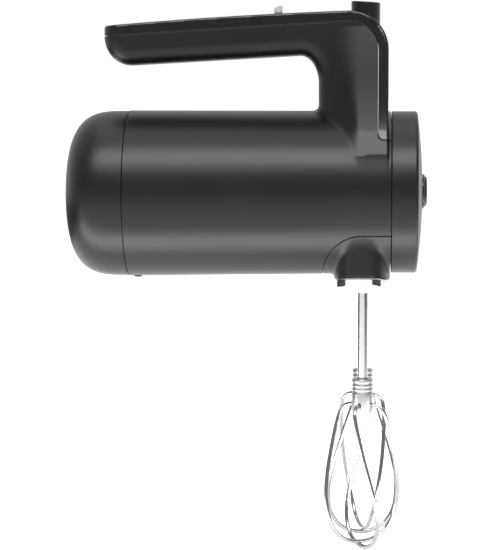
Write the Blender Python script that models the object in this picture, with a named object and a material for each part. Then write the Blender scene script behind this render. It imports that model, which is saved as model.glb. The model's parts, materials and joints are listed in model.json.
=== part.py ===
"""Cordless hand mixer with two wire whisks, modelled as separate pieces on their real joints.

The mixer works with its barrel level along X and its whisks hanging down. The origin is the middle of
the flat rear end of the barrel. +X runs to the front, +Y is the left side of the mixer and +Z is up.
"""

import math

import bmesh
import bpy
from mathutils import Matrix, Vector

MM = 0.001

# Clearances
FIT_GAP = 0.3 * MM                  # between two pieces that rest on or in each other
RUN_GAP = 0.35 * MM                 # between a shaft and the bush or bore that it turns in
SLIDE_GAP = 0.4 * MM                # between a sliding piece and its guide
OVERCUT = 1.0 * MM                  # a cutter goes this much further than what it cuts

# Barrel of the housing
BARREL_RADIUS = 45.5 * MM           # at the rear seam
REAR_SEAM_X = 34.2 * MM             # rear cap meets the housing halves
FRONT_SEAM_X = 178.1 * MM           # housing halves meet the front bezel
BELLY_RISE = 2.2 * MM               # the underside is this much higher at the front seam
WALL = 2.4 * MM                     # wall of every moulded casing
SIDE_REACH = BARREL_RADIUS + 15.0 * MM           # half the width of tools that span the mixer
BARREL_STEPS = 40
SMALL_STEPS = 16                    # round inner pieces

# Rear cap
HEEL_FLAT_RADIUS = 12.0 * MM        # flat end on which the mixer is stood up
CAP_ROUNDNESS = 3.3                 # exponent of the cap's outline
CAP_POINTS = 7

# Front bezel and the plain badge on it
BEZEL_FACE_X = FRONT_SEAM_X + 14.4 * MM     # rim of the front face
BEZEL_CORNER = 1.8 * MM
BEZEL_DOME = 2.8 * MM               # the middle of the face stands proud of its rim
BADGE_RADIUS = 9.7 * MM
BADGE_FACE_X = BEZEL_FACE_X + 5.3 * MM
BADGE_CHAMFER = 1.5 * MM

# Handle, seen from the side
HANDLE_HALF_WIDTH = 16.0 * MM
HANDLE_CORNER = 9.0 * MM            # rounding of the grip's cross-section
HANDLE_REAR_X = 21.0 * MM
HANDLE_SLOPE = math.radians(3.5)    # the grip rises towards the front
GRIP_REAR_LENGTH = 15.0 * MM        # rounded rear end of the lower shell
UNDERSIDE_REAR_Z = BARREL_RADIUS + 24.8 * MM    # underside where the rounded rear end starts
FINGER_ARC_Z = BARREL_RADIUS + 15.1 * MM        # middle of the gap's rounded front end
FINGER_ARC_LENGTH = 10.0 * MM
FINGER_ARC_RISE = 15.0 * MM
TOP_REAR_Z = UNDERSIDE_REAR_Z + 22.3 * MM       # top line near the rear end
TOP_CREST_Z = TOP_REAR_Z + 7.4 * MM             # top line where it turns down
COLUMN_FRONT_X = FRONT_SEAM_X - 1.85 * MM       # upright front face of the handle
COLUMN_CORNER = 21.0 * MM           # radius between the top line and the front face
COLUMN_DEPTH = 37.9 * MM            # from the upright front face to the finger gap
CREST_X = COLUMN_FRONT_X - COLUMN_CORNER
FINGER_ARC_X = COLUMN_FRONT_X - COLUMN_DEPTH - FINGER_ARC_LENGTH    # the gap's front end starts here
COVER_THICKNESS = 5.5 * MM          # glossy strip along the top and down the front
COVER_LOW_Z = BARREL_RADIUS - 14.5 * MM         # lower end of that strip
LEAN_ANGLE = math.radians(15.5)     # the column's sides lean, so that it is wider where it meets the barrel
LEAN_START_X = FINGER_ARC_X + 9.5 * MM         # behind this the sides are upright
LEAN_RUN = 24.0 * MM                # length over which the sides reach their full lean
LEAN_DROP = 3.0 * MM                # the lean starts this far below the strip's seam

# Nose cover under the front of the barrel, with the beater sockets
NOSE_SEAM_LENGTH = 21.6 * MM        # rounded rear part of the seam, ahead of the straight part
NOSE_SEAM_DEPTH = 24.3 * MM
NOSE_SEAM_Z = NOSE_SEAM_DEPTH - BARREL_RADIUS + 1.0 * MM
SPINDLE_X = FRONT_SEAM_X - 15.0 * MM
NOSE_X = SPINDLE_X - 0.6 * MM       # middle of the pillar and the ring
SPINDLE_Y = 18.0 * MM               # each side of the middle
NOSE_HALF_X = 15.45 * MM
NOSE_HALF_Y = 37.3 * MM
NOSE_ROUNDNESS = 3.0
NOSE_LOW_Z = -BARREL_RADIUS - 0.6 * MM          # lower edge of the nose cover, on the middle plane
SADDLE_RISE = 4.1 * MM              # that edge is this much higher at the two sides
RING_HEIGHT = 5.9 * MM              # polished ring below the nose cover
SOCKET_RADIUS = 8.7 * MM            # polished socket bezel round each shaft
SOCKET_LOW_RADIUS = 6.5 * MM
SOCKET_LOW_Z = NOSE_LOW_Z - 6.2 * MM
SOCKET_HEIGHT = 6.4 * MM
PLATE_THICKNESS = 2.0 * MM

# Controls
BUTTON_X = COLUMN_FRONT_X - 12.55 * MM
BUTTON_RADIUS = 7.9 * MM
BUTTON_TOP_Z = TOP_CREST_Z + 5.6 * MM
BUTTON_HEIGHT = 19.6 * MM
SPRING_SEAT_Z = BUTTON_TOP_Z - 37.6 * MM        # web across the column that carries the eject spring
SPRING_SEAT_THICKNESS = 2.5 * MM
SPRING_RADIUS = 4.8 * MM
SPRING_WIRE = 0.5 * MM
SPRING_TURNS = 5
ROD_RADIUS = 2.5 * MM
YOKE_TOP_Z = 27.0 * MM
YOKE_THICKNESS = 4.0 * MM
YOKE_PIN_LOW_Z = -10.5 * MM
SLIDER_REAR_X = CREST_X - 41.35 * MM
SLIDER_LENGTH = 4.4 * MM
SLIDER_HALF_WIDTH = 7.0 * MM
SLIDER_TOP_Z = TOP_CREST_Z + 3.2 * MM
SLIDER_TRAVEL = 28.0 * MM

# Drive
MOTOR_RADIUS = 18.5 * MM
MOTOR_REAR_X = SPINDLE_X - 80.1 * MM
MOTOR_LENGTH = 50.0 * MM
MOTOR_WALL = 1.6 * MM
MOTOR_SHAFT_RADIUS = 2.5 * MM
BEARING_RADIUS = 6.5 * MM
BEARING_WIDTH = 4.0 * MM
WHEEL_TEETH = 24
WHEEL_RADIUS = 13.9 * MM            # over the tips of the teeth
TOOTH_DEPTH = 1.6 * MM
WHEEL_THICKNESS = 8.0 * MM
WORM_RADIUS = 5.0 * MM              # over the thread
WORM_ROOT_RADIUS = 3.7 * MM
WORM_LENGTH = 24.0 * MM
THREAD_HALF_SHARE = 0.21            # half the foot of the thread, as a share of its pitch
MESH_RADIUS = 4.45 * MM             # where the thread and the teeth meet, from the worm's axis
WORM_PITCH = 2.0 * math.pi * (SPINDLE_Y - MESH_RADIUS) / WHEEL_TEETH
SPINDLE_RADIUS = 5.0 * MM
BUSH_RADIUS = 7.5 * MM
FRAME_LOW_Z = -16.0 * MM
FRAME_THICKNESS = 7.0 * MM
COVER_PLATE_Z = 9.0 * MM
COVER_PLATE_THICKNESS = 4.0 * MM
FRAME_HALF_X = 16.5 * MM
FRAME_HALF_Y = 33.0 * MM
POST_RADIUS = 2.6 * MM
POST_INSET = 3.0 * MM               # from the frame's edges to the middle of a post
SCREW_RADIUS = 1.3 * MM
SCREW_HEAD_RADIUS = 2.4 * MM
SCREW_HEAD_HEIGHT = 1.6 * MM
FAN_RADIUS = 17.0 * MM
FAN_X = MOTOR_REAR_X + MOTOR_LENGTH + 4.5 * MM
FAN_WIDTH = 6.0 * MM
FAN_BLADES = 9

# Battery and electronics
CELL_RADIUS = 9.2 * MM
CELL_LENGTH = 65.0 * MM
CELL_REAR_X = 11.0 * MM
CELL_COUNT = 3
CELL_CIRCLE = 11.6 * MM             # the cells' centres lie on this circle
CRADLE_RADIUS = 24.5 * MM
CRADLE_LENGTH = 34.0 * MM
BOARD_THICKNESS = 1.6 * MM
BOARD_LENGTH = 46.0 * MM            # control board, above the motor
BOARD_HALF_WIDTH = 22.0 * MM
PORT_X = 38.4 * MM                  # charging port under the rear of the barrel
PORT_LENGTH = 9.4 * MM              # across the mixer
PORT_WIDTH = 3.4 * MM
SOCKET_FLOOR_Z = WALL + 0.8 * MM - BARREL_RADIUS    # lower face of the charging socket, just inside the barrel
FLAP_REAR_X = 36.3 * MM
FLAP_FRONT_X = 40.8 * MM
FLAP_HALF_WIDTH = 6.5 * MM
FLAP_LOW_Z = -BARREL_RADIUS - 0.6 * MM
FLAP_THICKNESS = 1.7 * MM

# Whisks
SHAFT_RADIUS = 2.75 * MM
SHAFT_TOP_Z = -20.0 * MM
HUB_RADIUS = 5.75 * MM
SHAFT_SHOWN = 47.5 * MM             # between the socket and the hub
HUB_LENGTH = 18.2 * MM
HUB_TOP_Z = SOCKET_LOW_Z - SHAFT_SHOWN
HUB_LOW_Z = HUB_TOP_Z - HUB_LENGTH
HUB_GROOVE = 0.7 * MM
HUB_RIBS = 3
SHAFT_IN_HUB = 10.5 * MM
WIRE_RADIUS = 1.15 * MM
WIRE_EXIT_Z = HUB_LOW_Z + 3.6 * MM
WHISK_RADIUS = 20.7 * MM            # to the middle of the wire, at the widest
WIDEST_BELOW_EXIT = 52.0 * MM       # from the wires' holes down to the widest place
WHISK_LENGTH = 75.3 * MM            # below the hub
WHISK_LOW_Z = HUB_LOW_Z - WHISK_LENGTH      # middle of the lowest wire
WHISK_TWIST = math.radians(50.0)
WHISK_PHASE = {"right": math.radians(-20.0), "left": math.radians(-25.0)}
WIRE_POINTS = 25                    # along each wire, from the hub to the bottom
SIDES = {"right": -1.0, "left": 1.0}

MATERIALS = {
    "matte_black": ((0.016, 0.016, 0.017, 1.0), 0.45, 0.0),
    "gloss_black": ((0.008, 0.008, 0.009, 1.0), 0.08, 0.0),
    "chrome": ((0.80, 0.80, 0.81, 1.0), 0.08, 1.0),
    "stainless": ((0.62, 0.62, 0.62, 1.0), 0.22, 1.0),
    "hub_metal": ((0.50, 0.50, 0.50, 1.0), 0.35, 1.0),
    "slider_silver": ((0.60, 0.60, 0.61, 1.0), 0.30, 1.0),
    "black_rubber": ((0.012, 0.012, 0.012, 1.0), 0.80, 0.0),
    "steel": ((0.45, 0.45, 0.46, 1.0), 0.35, 1.0),
    "bronze": ((0.48, 0.30, 0.14, 1.0), 0.40, 1.0),
    "white_nylon": ((0.80, 0.79, 0.75, 1.0), 0.50, 0.0),
    "grey_plastic": ((0.18, 0.18, 0.19, 1.0), 0.50, 0.0),
    "copper": ((0.72, 0.36, 0.20, 1.0), 0.35, 1.0),
    "cell_blue": ((0.03, 0.14, 0.32, 1.0), 0.40, 0.0),
    "board_green": ((0.02, 0.14, 0.06, 1.0), 0.45, 0.0),
    "carbon": ((0.03, 0.03, 0.03, 1.0), 0.60, 0.0),
}


# ---------------------------------------------------------------- helpers

def clear_scene():
    """Remove every object, so that the script can be run again."""
    for item in list(bpy.data.objects):
        bpy.data.objects.remove(item, do_unlink=True)


def make_material(name):
    """Return the named Principled material, made on first use."""
    found = bpy.data.materials.get(name)
    if found:
        return found
    colour, roughness, metallic = MATERIALS[name]
    made = bpy.data.materials.new(name)
    made.use_nodes = True
    shader = made.node_tree.nodes["Principled BSDF"]
    shader.inputs["Base Color"].default_value = colour
    shader.inputs["Roughness"].default_value = roughness
    shader.inputs["Metallic"].default_value = metallic
    return made


def add_object(name, mesh_data, finish=None):
    """Make an object of a bmesh, with its faces pointing out, and free the bmesh."""
    bmesh.ops.remove_doubles(mesh_data, verts=mesh_data.verts, dist=0.001 * MM)
    bmesh.ops.recalc_face_normals(mesh_data, faces=mesh_data.faces)
    mesh = bpy.data.meshes.new(name)
    mesh_data.to_mesh(mesh)
    mesh_data.free()
    if mesh.polygons and signed_volume(mesh) < 0.0:
        mesh.flip_normals()
    item = bpy.data.objects.new(name, mesh)
    bpy.context.scene.collection.objects.link(item)
    if finish:
        dress(item, finish)
    return item


def signed_volume(mesh):
    """Return six times the volume inside a mesh, negative when it is inside out."""
    total = 0.0
    for polygon in mesh.polygons:
        corners = [mesh.vertices[i].co for i in polygon.vertices]
        for second, third in zip(corners[1:], corners[2:]):
            total += corners[0].dot(second.cross(third))
    return total


def dress(item, finish):
    """Give an object its material and smooth shading."""
    item.data.materials.clear()
    item.data.materials.append(make_material(finish))
    item.data.shade_smooth()
    item.data.set_sharp_from_angle(angle=math.radians(35.0))


def loft(rings, flat_sides=True, endless=False):
    """Return a closed bmesh through rings of equally many points, with filled ends.

    Sides that aren't flat are split into triangles, so that a cut through them is exact. An endless
    loft has no ends: its last ring is joined to its first.
    """
    mesh_data = bmesh.new()
    rows = [[mesh_data.verts.new(point) for point in ring] for ring in rings]
    count = len(rows[0])
    next_rows = rows[1:] + ([rows[0]] if endless else [])
    for lower, upper in zip(rows, next_rows):
        for i in range(count):
            j = (i + 1) % count
            mesh_data.faces.new((lower[i], lower[j], upper[j], upper[i]))
    if not endless:
        mesh_data.faces.new(list(reversed(rows[0])))
        mesh_data.faces.new(rows[-1])
    if not flat_sides:
        bmesh.ops.triangulate(mesh_data, faces=mesh_data.faces)
    return mesh_data


def extruded(outline, plane, low, high):
    """Return a closed bmesh: an outline in plane 'XY', 'XZ' or 'YZ', from low to high across it."""
    place = {
        "XY": lambda a, b, c: (a, b, c),
        "XZ": lambda a, b, c: (a, c, b),
        "YZ": lambda a, b, c: (c, a, b),
    }[plane]
    return loft([[place(a, b, level) for a, b in outline] for level in (low, high)])


def turned(profile, axis, centre, steps=SMALL_STEPS):
    """Return a closed bmesh: a closed profile of (radius, height) turned about an axis 'X' or 'Z'."""
    mesh_data = bmesh.new()
    corners = [mesh_data.verts.new((radius, 0.0, height)) for radius, height in profile]
    edges = [mesh_data.edges.new(pair) for pair in zip(corners, corners[1:])]
    if profile[0][0] > 0.0 or profile[-1][0] > 0.0:
        edges.append(mesh_data.edges.new((corners[-1], corners[0])))
    bmesh.ops.spin(mesh_data, geom=corners + edges, cent=(0, 0, 0), axis=(0, 0, 1),
                   angle=2.0 * math.pi, steps=steps, use_merge=True)
    if axis == "X":
        mesh_data.transform(Matrix.Rotation(math.radians(90.0), 4, "Y"))
    mesh_data.transform(Matrix.Translation(centre))
    return mesh_data


def cylinder(axis, centre, radius, low, high, steps=SMALL_STEPS):
    """Return a plain round bar between two heights along an axis."""
    return turned([(0.0, low), (radius, low), (radius, high), (0.0, high)], axis, centre, steps)


def sleeve(axis, centre, outer, inner, low, high, steps=SMALL_STEPS):
    """Return a round bar with a bore through it."""
    return turned([(inner, low), (outer, low), (outer, high), (inner, high)], axis, centre, steps)


def side_tool(outline):
    """Return a tool with an outline in the XZ plane that spans the whole width."""
    return extruded(outline, "XZ", -SIDE_REACH, SIDE_REACH)


def block(low, high):
    """Return a box between two corners."""
    outline = [(low[0], low[1]), (high[0], low[1]), (high[0], high[1]), (low[0], high[1])]
    return extruded(outline, "XY", low[2], high[2])


def combine(target, operation, tool, keep=False):
    """Cut, join or intersect an object with a tool object, and take the tool away."""
    change = target.modifiers.new("change", "BOOLEAN")
    change.operation = operation
    change.solver = "EXACT"
    change.object = tool
    bpy.context.view_layer.update()
    graph = bpy.context.evaluated_depsgraph_get()
    result = bpy.data.meshes.new_from_object(target.evaluated_get(graph))
    target.modifiers.clear()
    target.data = result
    if not keep:
        bpy.data.objects.remove(tool, do_unlink=True)
    return target


def cut(target, mesh_data):
    """Cut the shape of a bmesh out of an object."""
    return combine(target, "DIFFERENCE", add_object("tool", mesh_data))


def join(target, mesh_data):
    """Join the shape of a bmesh to an object."""
    return combine(target, "UNION", add_object("tool", mesh_data))


def duplicate(item, name):
    """Return a copy of an object with its own mesh."""
    copy = item.copy()
    copy.data = item.data.copy()
    copy.name = name
    bpy.context.scene.collection.objects.link(copy)
    return copy


def joint_empty(name, place):
    """Return an empty that stands on a joint's axis."""
    empty = bpy.data.objects.new(name, None)
    empty.location = place
    empty.empty_display_size = 10.0 * MM
    bpy.context.scene.collection.objects.link(empty)
    return empty


def hang(items, empty):
    """Parent pieces to a joint's empty without moving them."""
    bpy.context.view_layer.update()
    for item in items:
        item.parent = empty
        item.matrix_parent_inverse = empty.matrix_world.inverted()


def arc(centre, radius, start, end, steps):
    """Return points on an arc, both ends included, angles in degrees."""
    points = []
    for i in range(steps + 1):
        angle = math.radians(start + (end - start) * i / steps)
        points.append((centre[0] + radius * math.cos(angle), centre[1] + radius * math.sin(angle)))
    return points


def superellipse(half_a, half_b, exponent, steps):
    """Return the points of a superellipse about the origin, anticlockwise."""
    points = []
    for i in range(steps):
        angle = 2.0 * math.pi * i / steps
        cosine, sine = math.cos(angle), math.sin(angle)
        points.append((half_a * math.copysign(abs(cosine) ** (2.0 / exponent), cosine),
                       half_b * math.copysign(abs(sine) ** (2.0 / exponent), sine)))
    return points


# ---------------------------------------------------------------- shared surfaces

def barrel_section(x):
    """Return the barrel's radius and the height of its centre at x."""
    share = max(0.0, (x - REAR_SEAM_X) / (FRONT_SEAM_X - REAR_SEAM_X))
    return BARREL_RADIUS - 0.5 * BELLY_RISE * share, 0.5 * BELLY_RISE * share


def barrel_solid(start, end, inset=0.0):
    """Return the barrel between two places along X, smaller by inset all round."""
    rings = []
    for x in (start, end):
        radius, height = barrel_section(x)
        ring = []
        for i in range(BARREL_STEPS):
            angle = 2.0 * math.pi * (i + 0.5) / BARREL_STEPS
            ring.append((x, (radius - inset) * math.sin(angle), height + (radius - inset) * math.cos(angle)))
        rings.append(ring)
    return loft(rings)


def underside_z(x):
    """Return the height of the grip's underside."""
    rear = HANDLE_REAR_X + GRIP_REAR_LENGTH
    run = FINGER_ARC_X - rear
    return UNDERSIDE_REAR_Z + (FINGER_ARC_Z + FINGER_ARC_RISE - UNDERSIDE_REAR_Z) * (x - rear) / run


def top_z(x):
    """Return the height of the top line, a shallow crown that is level at its crest."""
    share = (CREST_X - x) / (CREST_X - HANDLE_REAR_X)
    return TOP_CREST_Z - (TOP_CREST_Z - TOP_REAR_Z) * (0.62 * share + 0.48 * share ** 2)


def cover_line_z(x):
    """Return the height of the seam between the lower shell and the glossy strip."""
    return TOP_CREST_Z - COVER_THICKNESS - (CREST_X - x) * math.tan(HANDLE_SLOPE)


def handle_half_width(x, z):
    """Return half the handle's width: even along the grip, growing downwards on the column."""
    share = min(1.0, max(0.0, (x - LEAN_START_X) / LEAN_RUN))
    share = share * share * (3.0 - 2.0 * share)
    drop = max(0.0, cover_line_z(x) - LEAN_DROP - z)
    return HANDLE_HALF_WIDTH + share * drop * math.tan(LEAN_ANGLE)


def handle_stations(inset):
    """Return pairs of points in the XZ plane, inner outline and outer outline, rear to foot."""
    rear_centre = HANDLE_REAR_X + GRIP_REAR_LENGTH
    seam = cover_line_z(HANDLE_REAR_X)
    rise = seam - UNDERSIDE_REAR_Z - inset
    pairs = []
    for angle in (4.0, 22.0, 42.0, 64.0, 90.0):
        x = rear_centre - (GRIP_REAR_LENGTH - inset) * math.cos(math.radians(angle))
        z = seam - rise * math.sin(math.radians(angle))
        pairs.append(((x, z), (x, top_z(x) - inset)))
    for share in (0.33, 0.67):
        x = rear_centre + share * (FINGER_ARC_X - rear_centre)
        pairs.append(((x, underside_z(x) + inset), (x, top_z(x) - inset)))
    corner = (COLUMN_FRONT_X - COLUMN_CORNER, TOP_CREST_Z - COLUMN_CORNER)
    front = COLUMN_FRONT_X - inset
    outer = []
    for x in (FINGER_ARC_X + 4.0 * MM, CREST_X - 13.0 * MM):
        outer.append((x, top_z(x) - inset))
    outer += arc(corner, COLUMN_CORNER - inset, 90.0, 0.0, 4)
    outer += [(front, BARREL_RADIUS + rise * MM) for rise in (24.0, 15.0, 7.0, 1.0, -6.0)]
    inner = []
    for x, z in arc((0.0, 0.0), 1.0, 90.0, -76.0, len(outer) - 1):
        inner.append((FINGER_ARC_X + x * (FINGER_ARC_LENGTH + inset), FINGER_ARC_Z + z * (FINGER_ARC_RISE + inset)))
    pairs += list(zip(inner, outer))
    foot = FINGER_ARC_X + 0.5 * FINGER_ARC_LENGTH + inset
    for inner_drop, outer_drop in ((7.0 * MM, 12.0 * MM), (15.0 * MM, 19.0 * MM)):
        pairs.append(((foot, BARREL_RADIUS - inner_drop), (front, BARREL_RADIUS - outer_drop)))
    return pairs


def handle_solid(inset=0.0):
    """Return the whole handle as one loft, smaller by inset all round."""
    rings = []
    for inner, outer in handle_stations(inset):
        inner, outer = Vector(inner), Vector(outer)
        along = (outer - inner).normalized()
        depth = (outer - inner).length
        limit = min(HANDLE_CORNER - inset, 0.45 * depth)
        ring = []
        for sx, sy, quarter in ((1, 1, 90.0), (1, -1, 0.0), (-1, -1, -90.0), (-1, 1, -180.0)):
            for step in range(4):
                angle = math.radians(quarter - 30.0 * step)
                run = 0.5 * depth + sx * (0.5 * depth - limit) + limit * math.cos(angle)
                point = inner + along * run
                half = handle_half_width(point.x, point.y) - inset
                ring.append((point.x, sy * (half - limit) + limit * math.sin(angle), point.y))
        rings.append(ring)
    return loft(rings, flat_sides=False)


def skin_solid(inset=0.0, start=REAR_SEAM_X + 0.5 * FIT_GAP, end=FRONT_SEAM_X - 0.5 * FIT_GAP):
    """Return an object: barrel and handle as one solid, smaller by inset all round."""
    skin = add_object("skin", barrel_solid(start, end, inset))
    join(skin, handle_solid(inset))
    return skin


def cover_outline(gap):
    """Return the side outline of the glossy strip's room, wider by gap on its inner side."""
    far = 10.0 * MM
    inner_radius = COLUMN_CORNER - COVER_THICKNESS - gap
    corner = (COLUMN_FRONT_X - COLUMN_CORNER, TOP_CREST_Z - COLUMN_CORNER)
    foot = 3.0 * MM
    low = COVER_LOW_Z - gap
    inner_x = COLUMN_FRONT_X - COVER_THICKNESS - gap
    rear = HANDLE_REAR_X - far
    points = [(rear, TOP_CREST_Z + far), (rear, cover_line_z(rear) - gap)]
    points.append((corner[0] - 8.0 * MM, cover_line_z(corner[0] - 8.0 * MM) - gap))
    points += arc(corner, inner_radius, 90.0, 0.0, 6)
    points += arc((inner_x + foot, low + foot), foot, 180.0, 270.0, 3)
    points += [(COLUMN_FRONT_X + far, low), (COLUMN_FRONT_X + far, TOP_CREST_Z + far)]
    return points


def nose_outline(gap):
    """Return the side outline of the nose cover's room, wider by gap on its upper side."""
    top = NOSE_SEAM_Z + gap
    centre = (NOSE_X, NOSE_SEAM_Z - NOSE_SEAM_DEPTH)
    front, low = FRONT_SEAM_X + SIDE_REACH, -BARREL_RADIUS - SIDE_REACH
    points = [(front, low), (front, top)]
    for i in range(9):
        angle = math.radians(90.0 + 90.0 * i / 8)
        points.append((centre[0] + (NOSE_SEAM_LENGTH + gap) * math.cos(angle),
                       centre[1] + (NOSE_SEAM_DEPTH + gap) * math.sin(angle)))
    points.append((points[-1][0], low))
    return points


def saddle_ring(scale_inset, height, arched=1.0):
    """Return a ring of the nose's oval at a height, with its two sides raised as a saddle."""
    ring = []
    half_x, half_y = NOSE_HALF_X - scale_inset, NOSE_HALF_Y - scale_inset
    for x, y in superellipse(half_x, half_y, NOSE_ROUNDNESS, 32):
        ring.append((NOSE_X + x, y, height + arched * SADDLE_RISE * (y / NOSE_HALF_Y) ** 2))
    return ring


def saddle_solid(inset, top, low, top_arched=1.0):
    """Return an oval column with a saddle-shaped lower end."""
    rings = [saddle_ring(inset, top, top_arched), saddle_ring(inset, low)]
    for share in (0.66, 0.33):
        flat = saddle_ring(inset, 0.0, 0.0)
        centre = Vector((NOSE_X, 0.0, 0.0))
        ring = []
        for point in flat:
            x, y = centre.x + share * (point[0] - centre.x), share * point[1]
            ring.append((x, y, low + SADDLE_RISE * (y / NOSE_HALF_Y) ** 2))
        rings.append(ring)
    return loft(rings, flat_sides=False)


# ---------------------------------------------------------------- casings

def make_housing():
    """Make the two housing halves and the glossy strip that closes the handle."""
    skin = skin_solid()
    strip = duplicate(skin, "handle_top_cover")
    combine(strip, "INTERSECT", add_object("room", side_tool(cover_outline(0.0))))
    cut(skin, side_tool(cover_outline(FIT_GAP)))
    cut(skin, side_tool(nose_outline(FIT_GAP)))
    hollow_housing(skin)
    cut_port(skin)
    halves = {}
    for side, sign in SIDES.items():
        half = duplicate(skin, "housing_" + side)
        near, far = sorted((-sign * SIDE_REACH, sign * 0.5 * FIT_GAP))
        cut(half, block((0.0, near, -SIDE_REACH), (BADGE_FACE_X, far, BUTTON_TOP_Z)))
        dress(half, "matte_black")
        halves[side] = half
    bpy.data.objects.remove(skin, do_unlink=True)
    finish_strip(strip)


def hollow_housing(skin):
    """Cut out the inside of the barrel and of the handle, leaving the spring's web."""
    cut(skin, barrel_solid(REAR_SEAM_X - OVERCUT, FRONT_SEAM_X + OVERCUT, WALL))
    hollow = add_object("hollow", handle_solid(WALL))
    low = SPRING_SEAT_Z - SPRING_SEAT_THICKNESS
    cut(hollow, block((CREST_X - 5.0 * MM, -SIDE_REACH, low), (FRONT_SEAM_X, SIDE_REACH, SPRING_SEAT_Z)))
    combine(skin, "DIFFERENCE", hollow)
    cut(skin, cylinder("Z", (BUTTON_X, 0.0, 0.0), ROD_RADIUS + SLIDE_GAP,
                       low - OVERCUT, SPRING_SEAT_Z + OVERCUT, 16))


def cut_port(skin):
    """Cut the pocket of the charging flap and the hole of the port behind it."""
    top = FLAP_LOW_Z + FLAP_THICKNESS + FIT_GAP
    cut(skin, block((FLAP_REAR_X - SLIDE_GAP, -FLAP_HALF_WIDTH - SLIDE_GAP, FLAP_LOW_Z - 3.0 * MM),
                    (FLAP_FRONT_X + SLIDE_GAP, FLAP_HALF_WIDTH + SLIDE_GAP, top)))
    cut(skin, block((PORT_X - 0.5 * PORT_WIDTH, -0.5 * PORT_LENGTH, FLAP_LOW_Z),
                    (PORT_X + 0.5 * PORT_WIDTH, 0.5 * PORT_LENGTH, SOCKET_FLOOR_Z + 5.8 * MM)))


def finish_strip(strip):
    """Thin the glossy strip from inside and cut its button hole and slider slot."""
    cut(strip, cylinder("Z", (BUTTON_X, 0.0, 0.0), BUTTON_RADIUS + SLIDE_GAP, SPRING_SEAT_Z,
                        BUTTON_TOP_Z + OVERCUT, 32))
    hollow = add_object("hollow", handle_solid(WALL))
    combine(hollow, "DIFFERENCE", add_object("tool", side_tool(cover_outline(-1.5 * MM))))
    combine(strip, "DIFFERENCE", hollow)
    cut(strip, barrel_solid(CREST_X - 7.0 * MM, FRONT_SEAM_X + OVERCUT, WALL))
    slot_low = (SLIDER_REAR_X - SLIDE_GAP, -SLIDER_HALF_WIDTH - SLIDE_GAP, SLIDER_TOP_Z - 22.0 * MM)
    slot_high = (SLIDER_REAR_X + SLIDER_LENGTH + SLIDER_TRAVEL + 2.0 * SLIDE_GAP,
                 SLIDER_HALF_WIDTH + SLIDE_GAP, SLIDER_TOP_Z + OVERCUT)
    cut(strip, block(slot_low, slot_high))
    dress(strip, "gloss_black")


def cap_profile(inset):
    """Return the rear cap's outline as (radius, x), from its flat end to its open edge."""
    length = REAR_SEAM_X - 2.0 * MM - inset
    radius = BARREL_RADIUS - inset
    points = [(0.0, inset), (HEEL_FLAT_RADIUS, inset)]
    for i in range(1, CAP_POINTS + 1):
        angle = math.radians(12.0 + 78.0 * i / CAP_POINTS)
        run = length * (1.0 - abs(math.cos(angle)) ** (2.0 / CAP_ROUNDNESS))
        points.append((radius * math.sin(angle) ** (2.0 / CAP_ROUNDNESS), inset + run))
    points.append((radius, REAR_SEAM_X - 0.5 * FIT_GAP))
    return points


def make_rear_cap():
    """Make the rounded rear cap, a cup with a flat end."""
    outer, inner = cap_profile(0.0), cap_profile(WALL)
    cap = add_object("rear_cap", turned(outer + list(reversed(inner)), "X", (0, 0, 0), BARREL_STEPS))
    dress(cap, "matte_black")


def make_front():
    """Make the front bezel with its domed face, and the plain badge on it."""
    radius, height = barrel_section(FRONT_SEAM_X)
    start = FRONT_SEAM_X + 0.5 * FIT_GAP
    corner = arc((radius - BEZEL_CORNER, BEZEL_FACE_X - BEZEL_CORNER), BEZEL_CORNER, 0.0, 80.0, 3)
    dome = []
    for share in (0.8, 0.55, 0.3):
        run = share * (radius - BEZEL_CORNER)
        dome.append((run, BEZEL_FACE_X + BEZEL_DOME * (1.0 - share ** 2)))
    inside = [(radius - WALL, start), (radius - WALL, BEZEL_FACE_X - 2.2 * WALL),
              (radius - 2.2 * WALL, BEZEL_FACE_X - WALL), (0.0, BEZEL_FACE_X - WALL)]
    outside = [(radius, start)] + corner + dome + [(0.0, BEZEL_FACE_X + BEZEL_DOME)]
    profile = list(reversed(outside)) + inside
    bezel = add_object("front_bezel", turned(profile, "X", (0, 0, height), BARREL_STEPS))
    dress(bezel, "matte_black")
    back = BEZEL_FACE_X + BEZEL_DOME + FIT_GAP
    badge = [(0.0, back), (BADGE_RADIUS, back), (BADGE_RADIUS - 0.6 * MM, BADGE_FACE_X - BADGE_CHAMFER),
             (BADGE_RADIUS - 0.6 * MM - BADGE_CHAMFER, BADGE_FACE_X), (0.0, BADGE_FACE_X)]
    add_object("front_badge", turned(badge, "X", (0, 0, height + 0.5 * MM), 32), "gloss_black")


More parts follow.
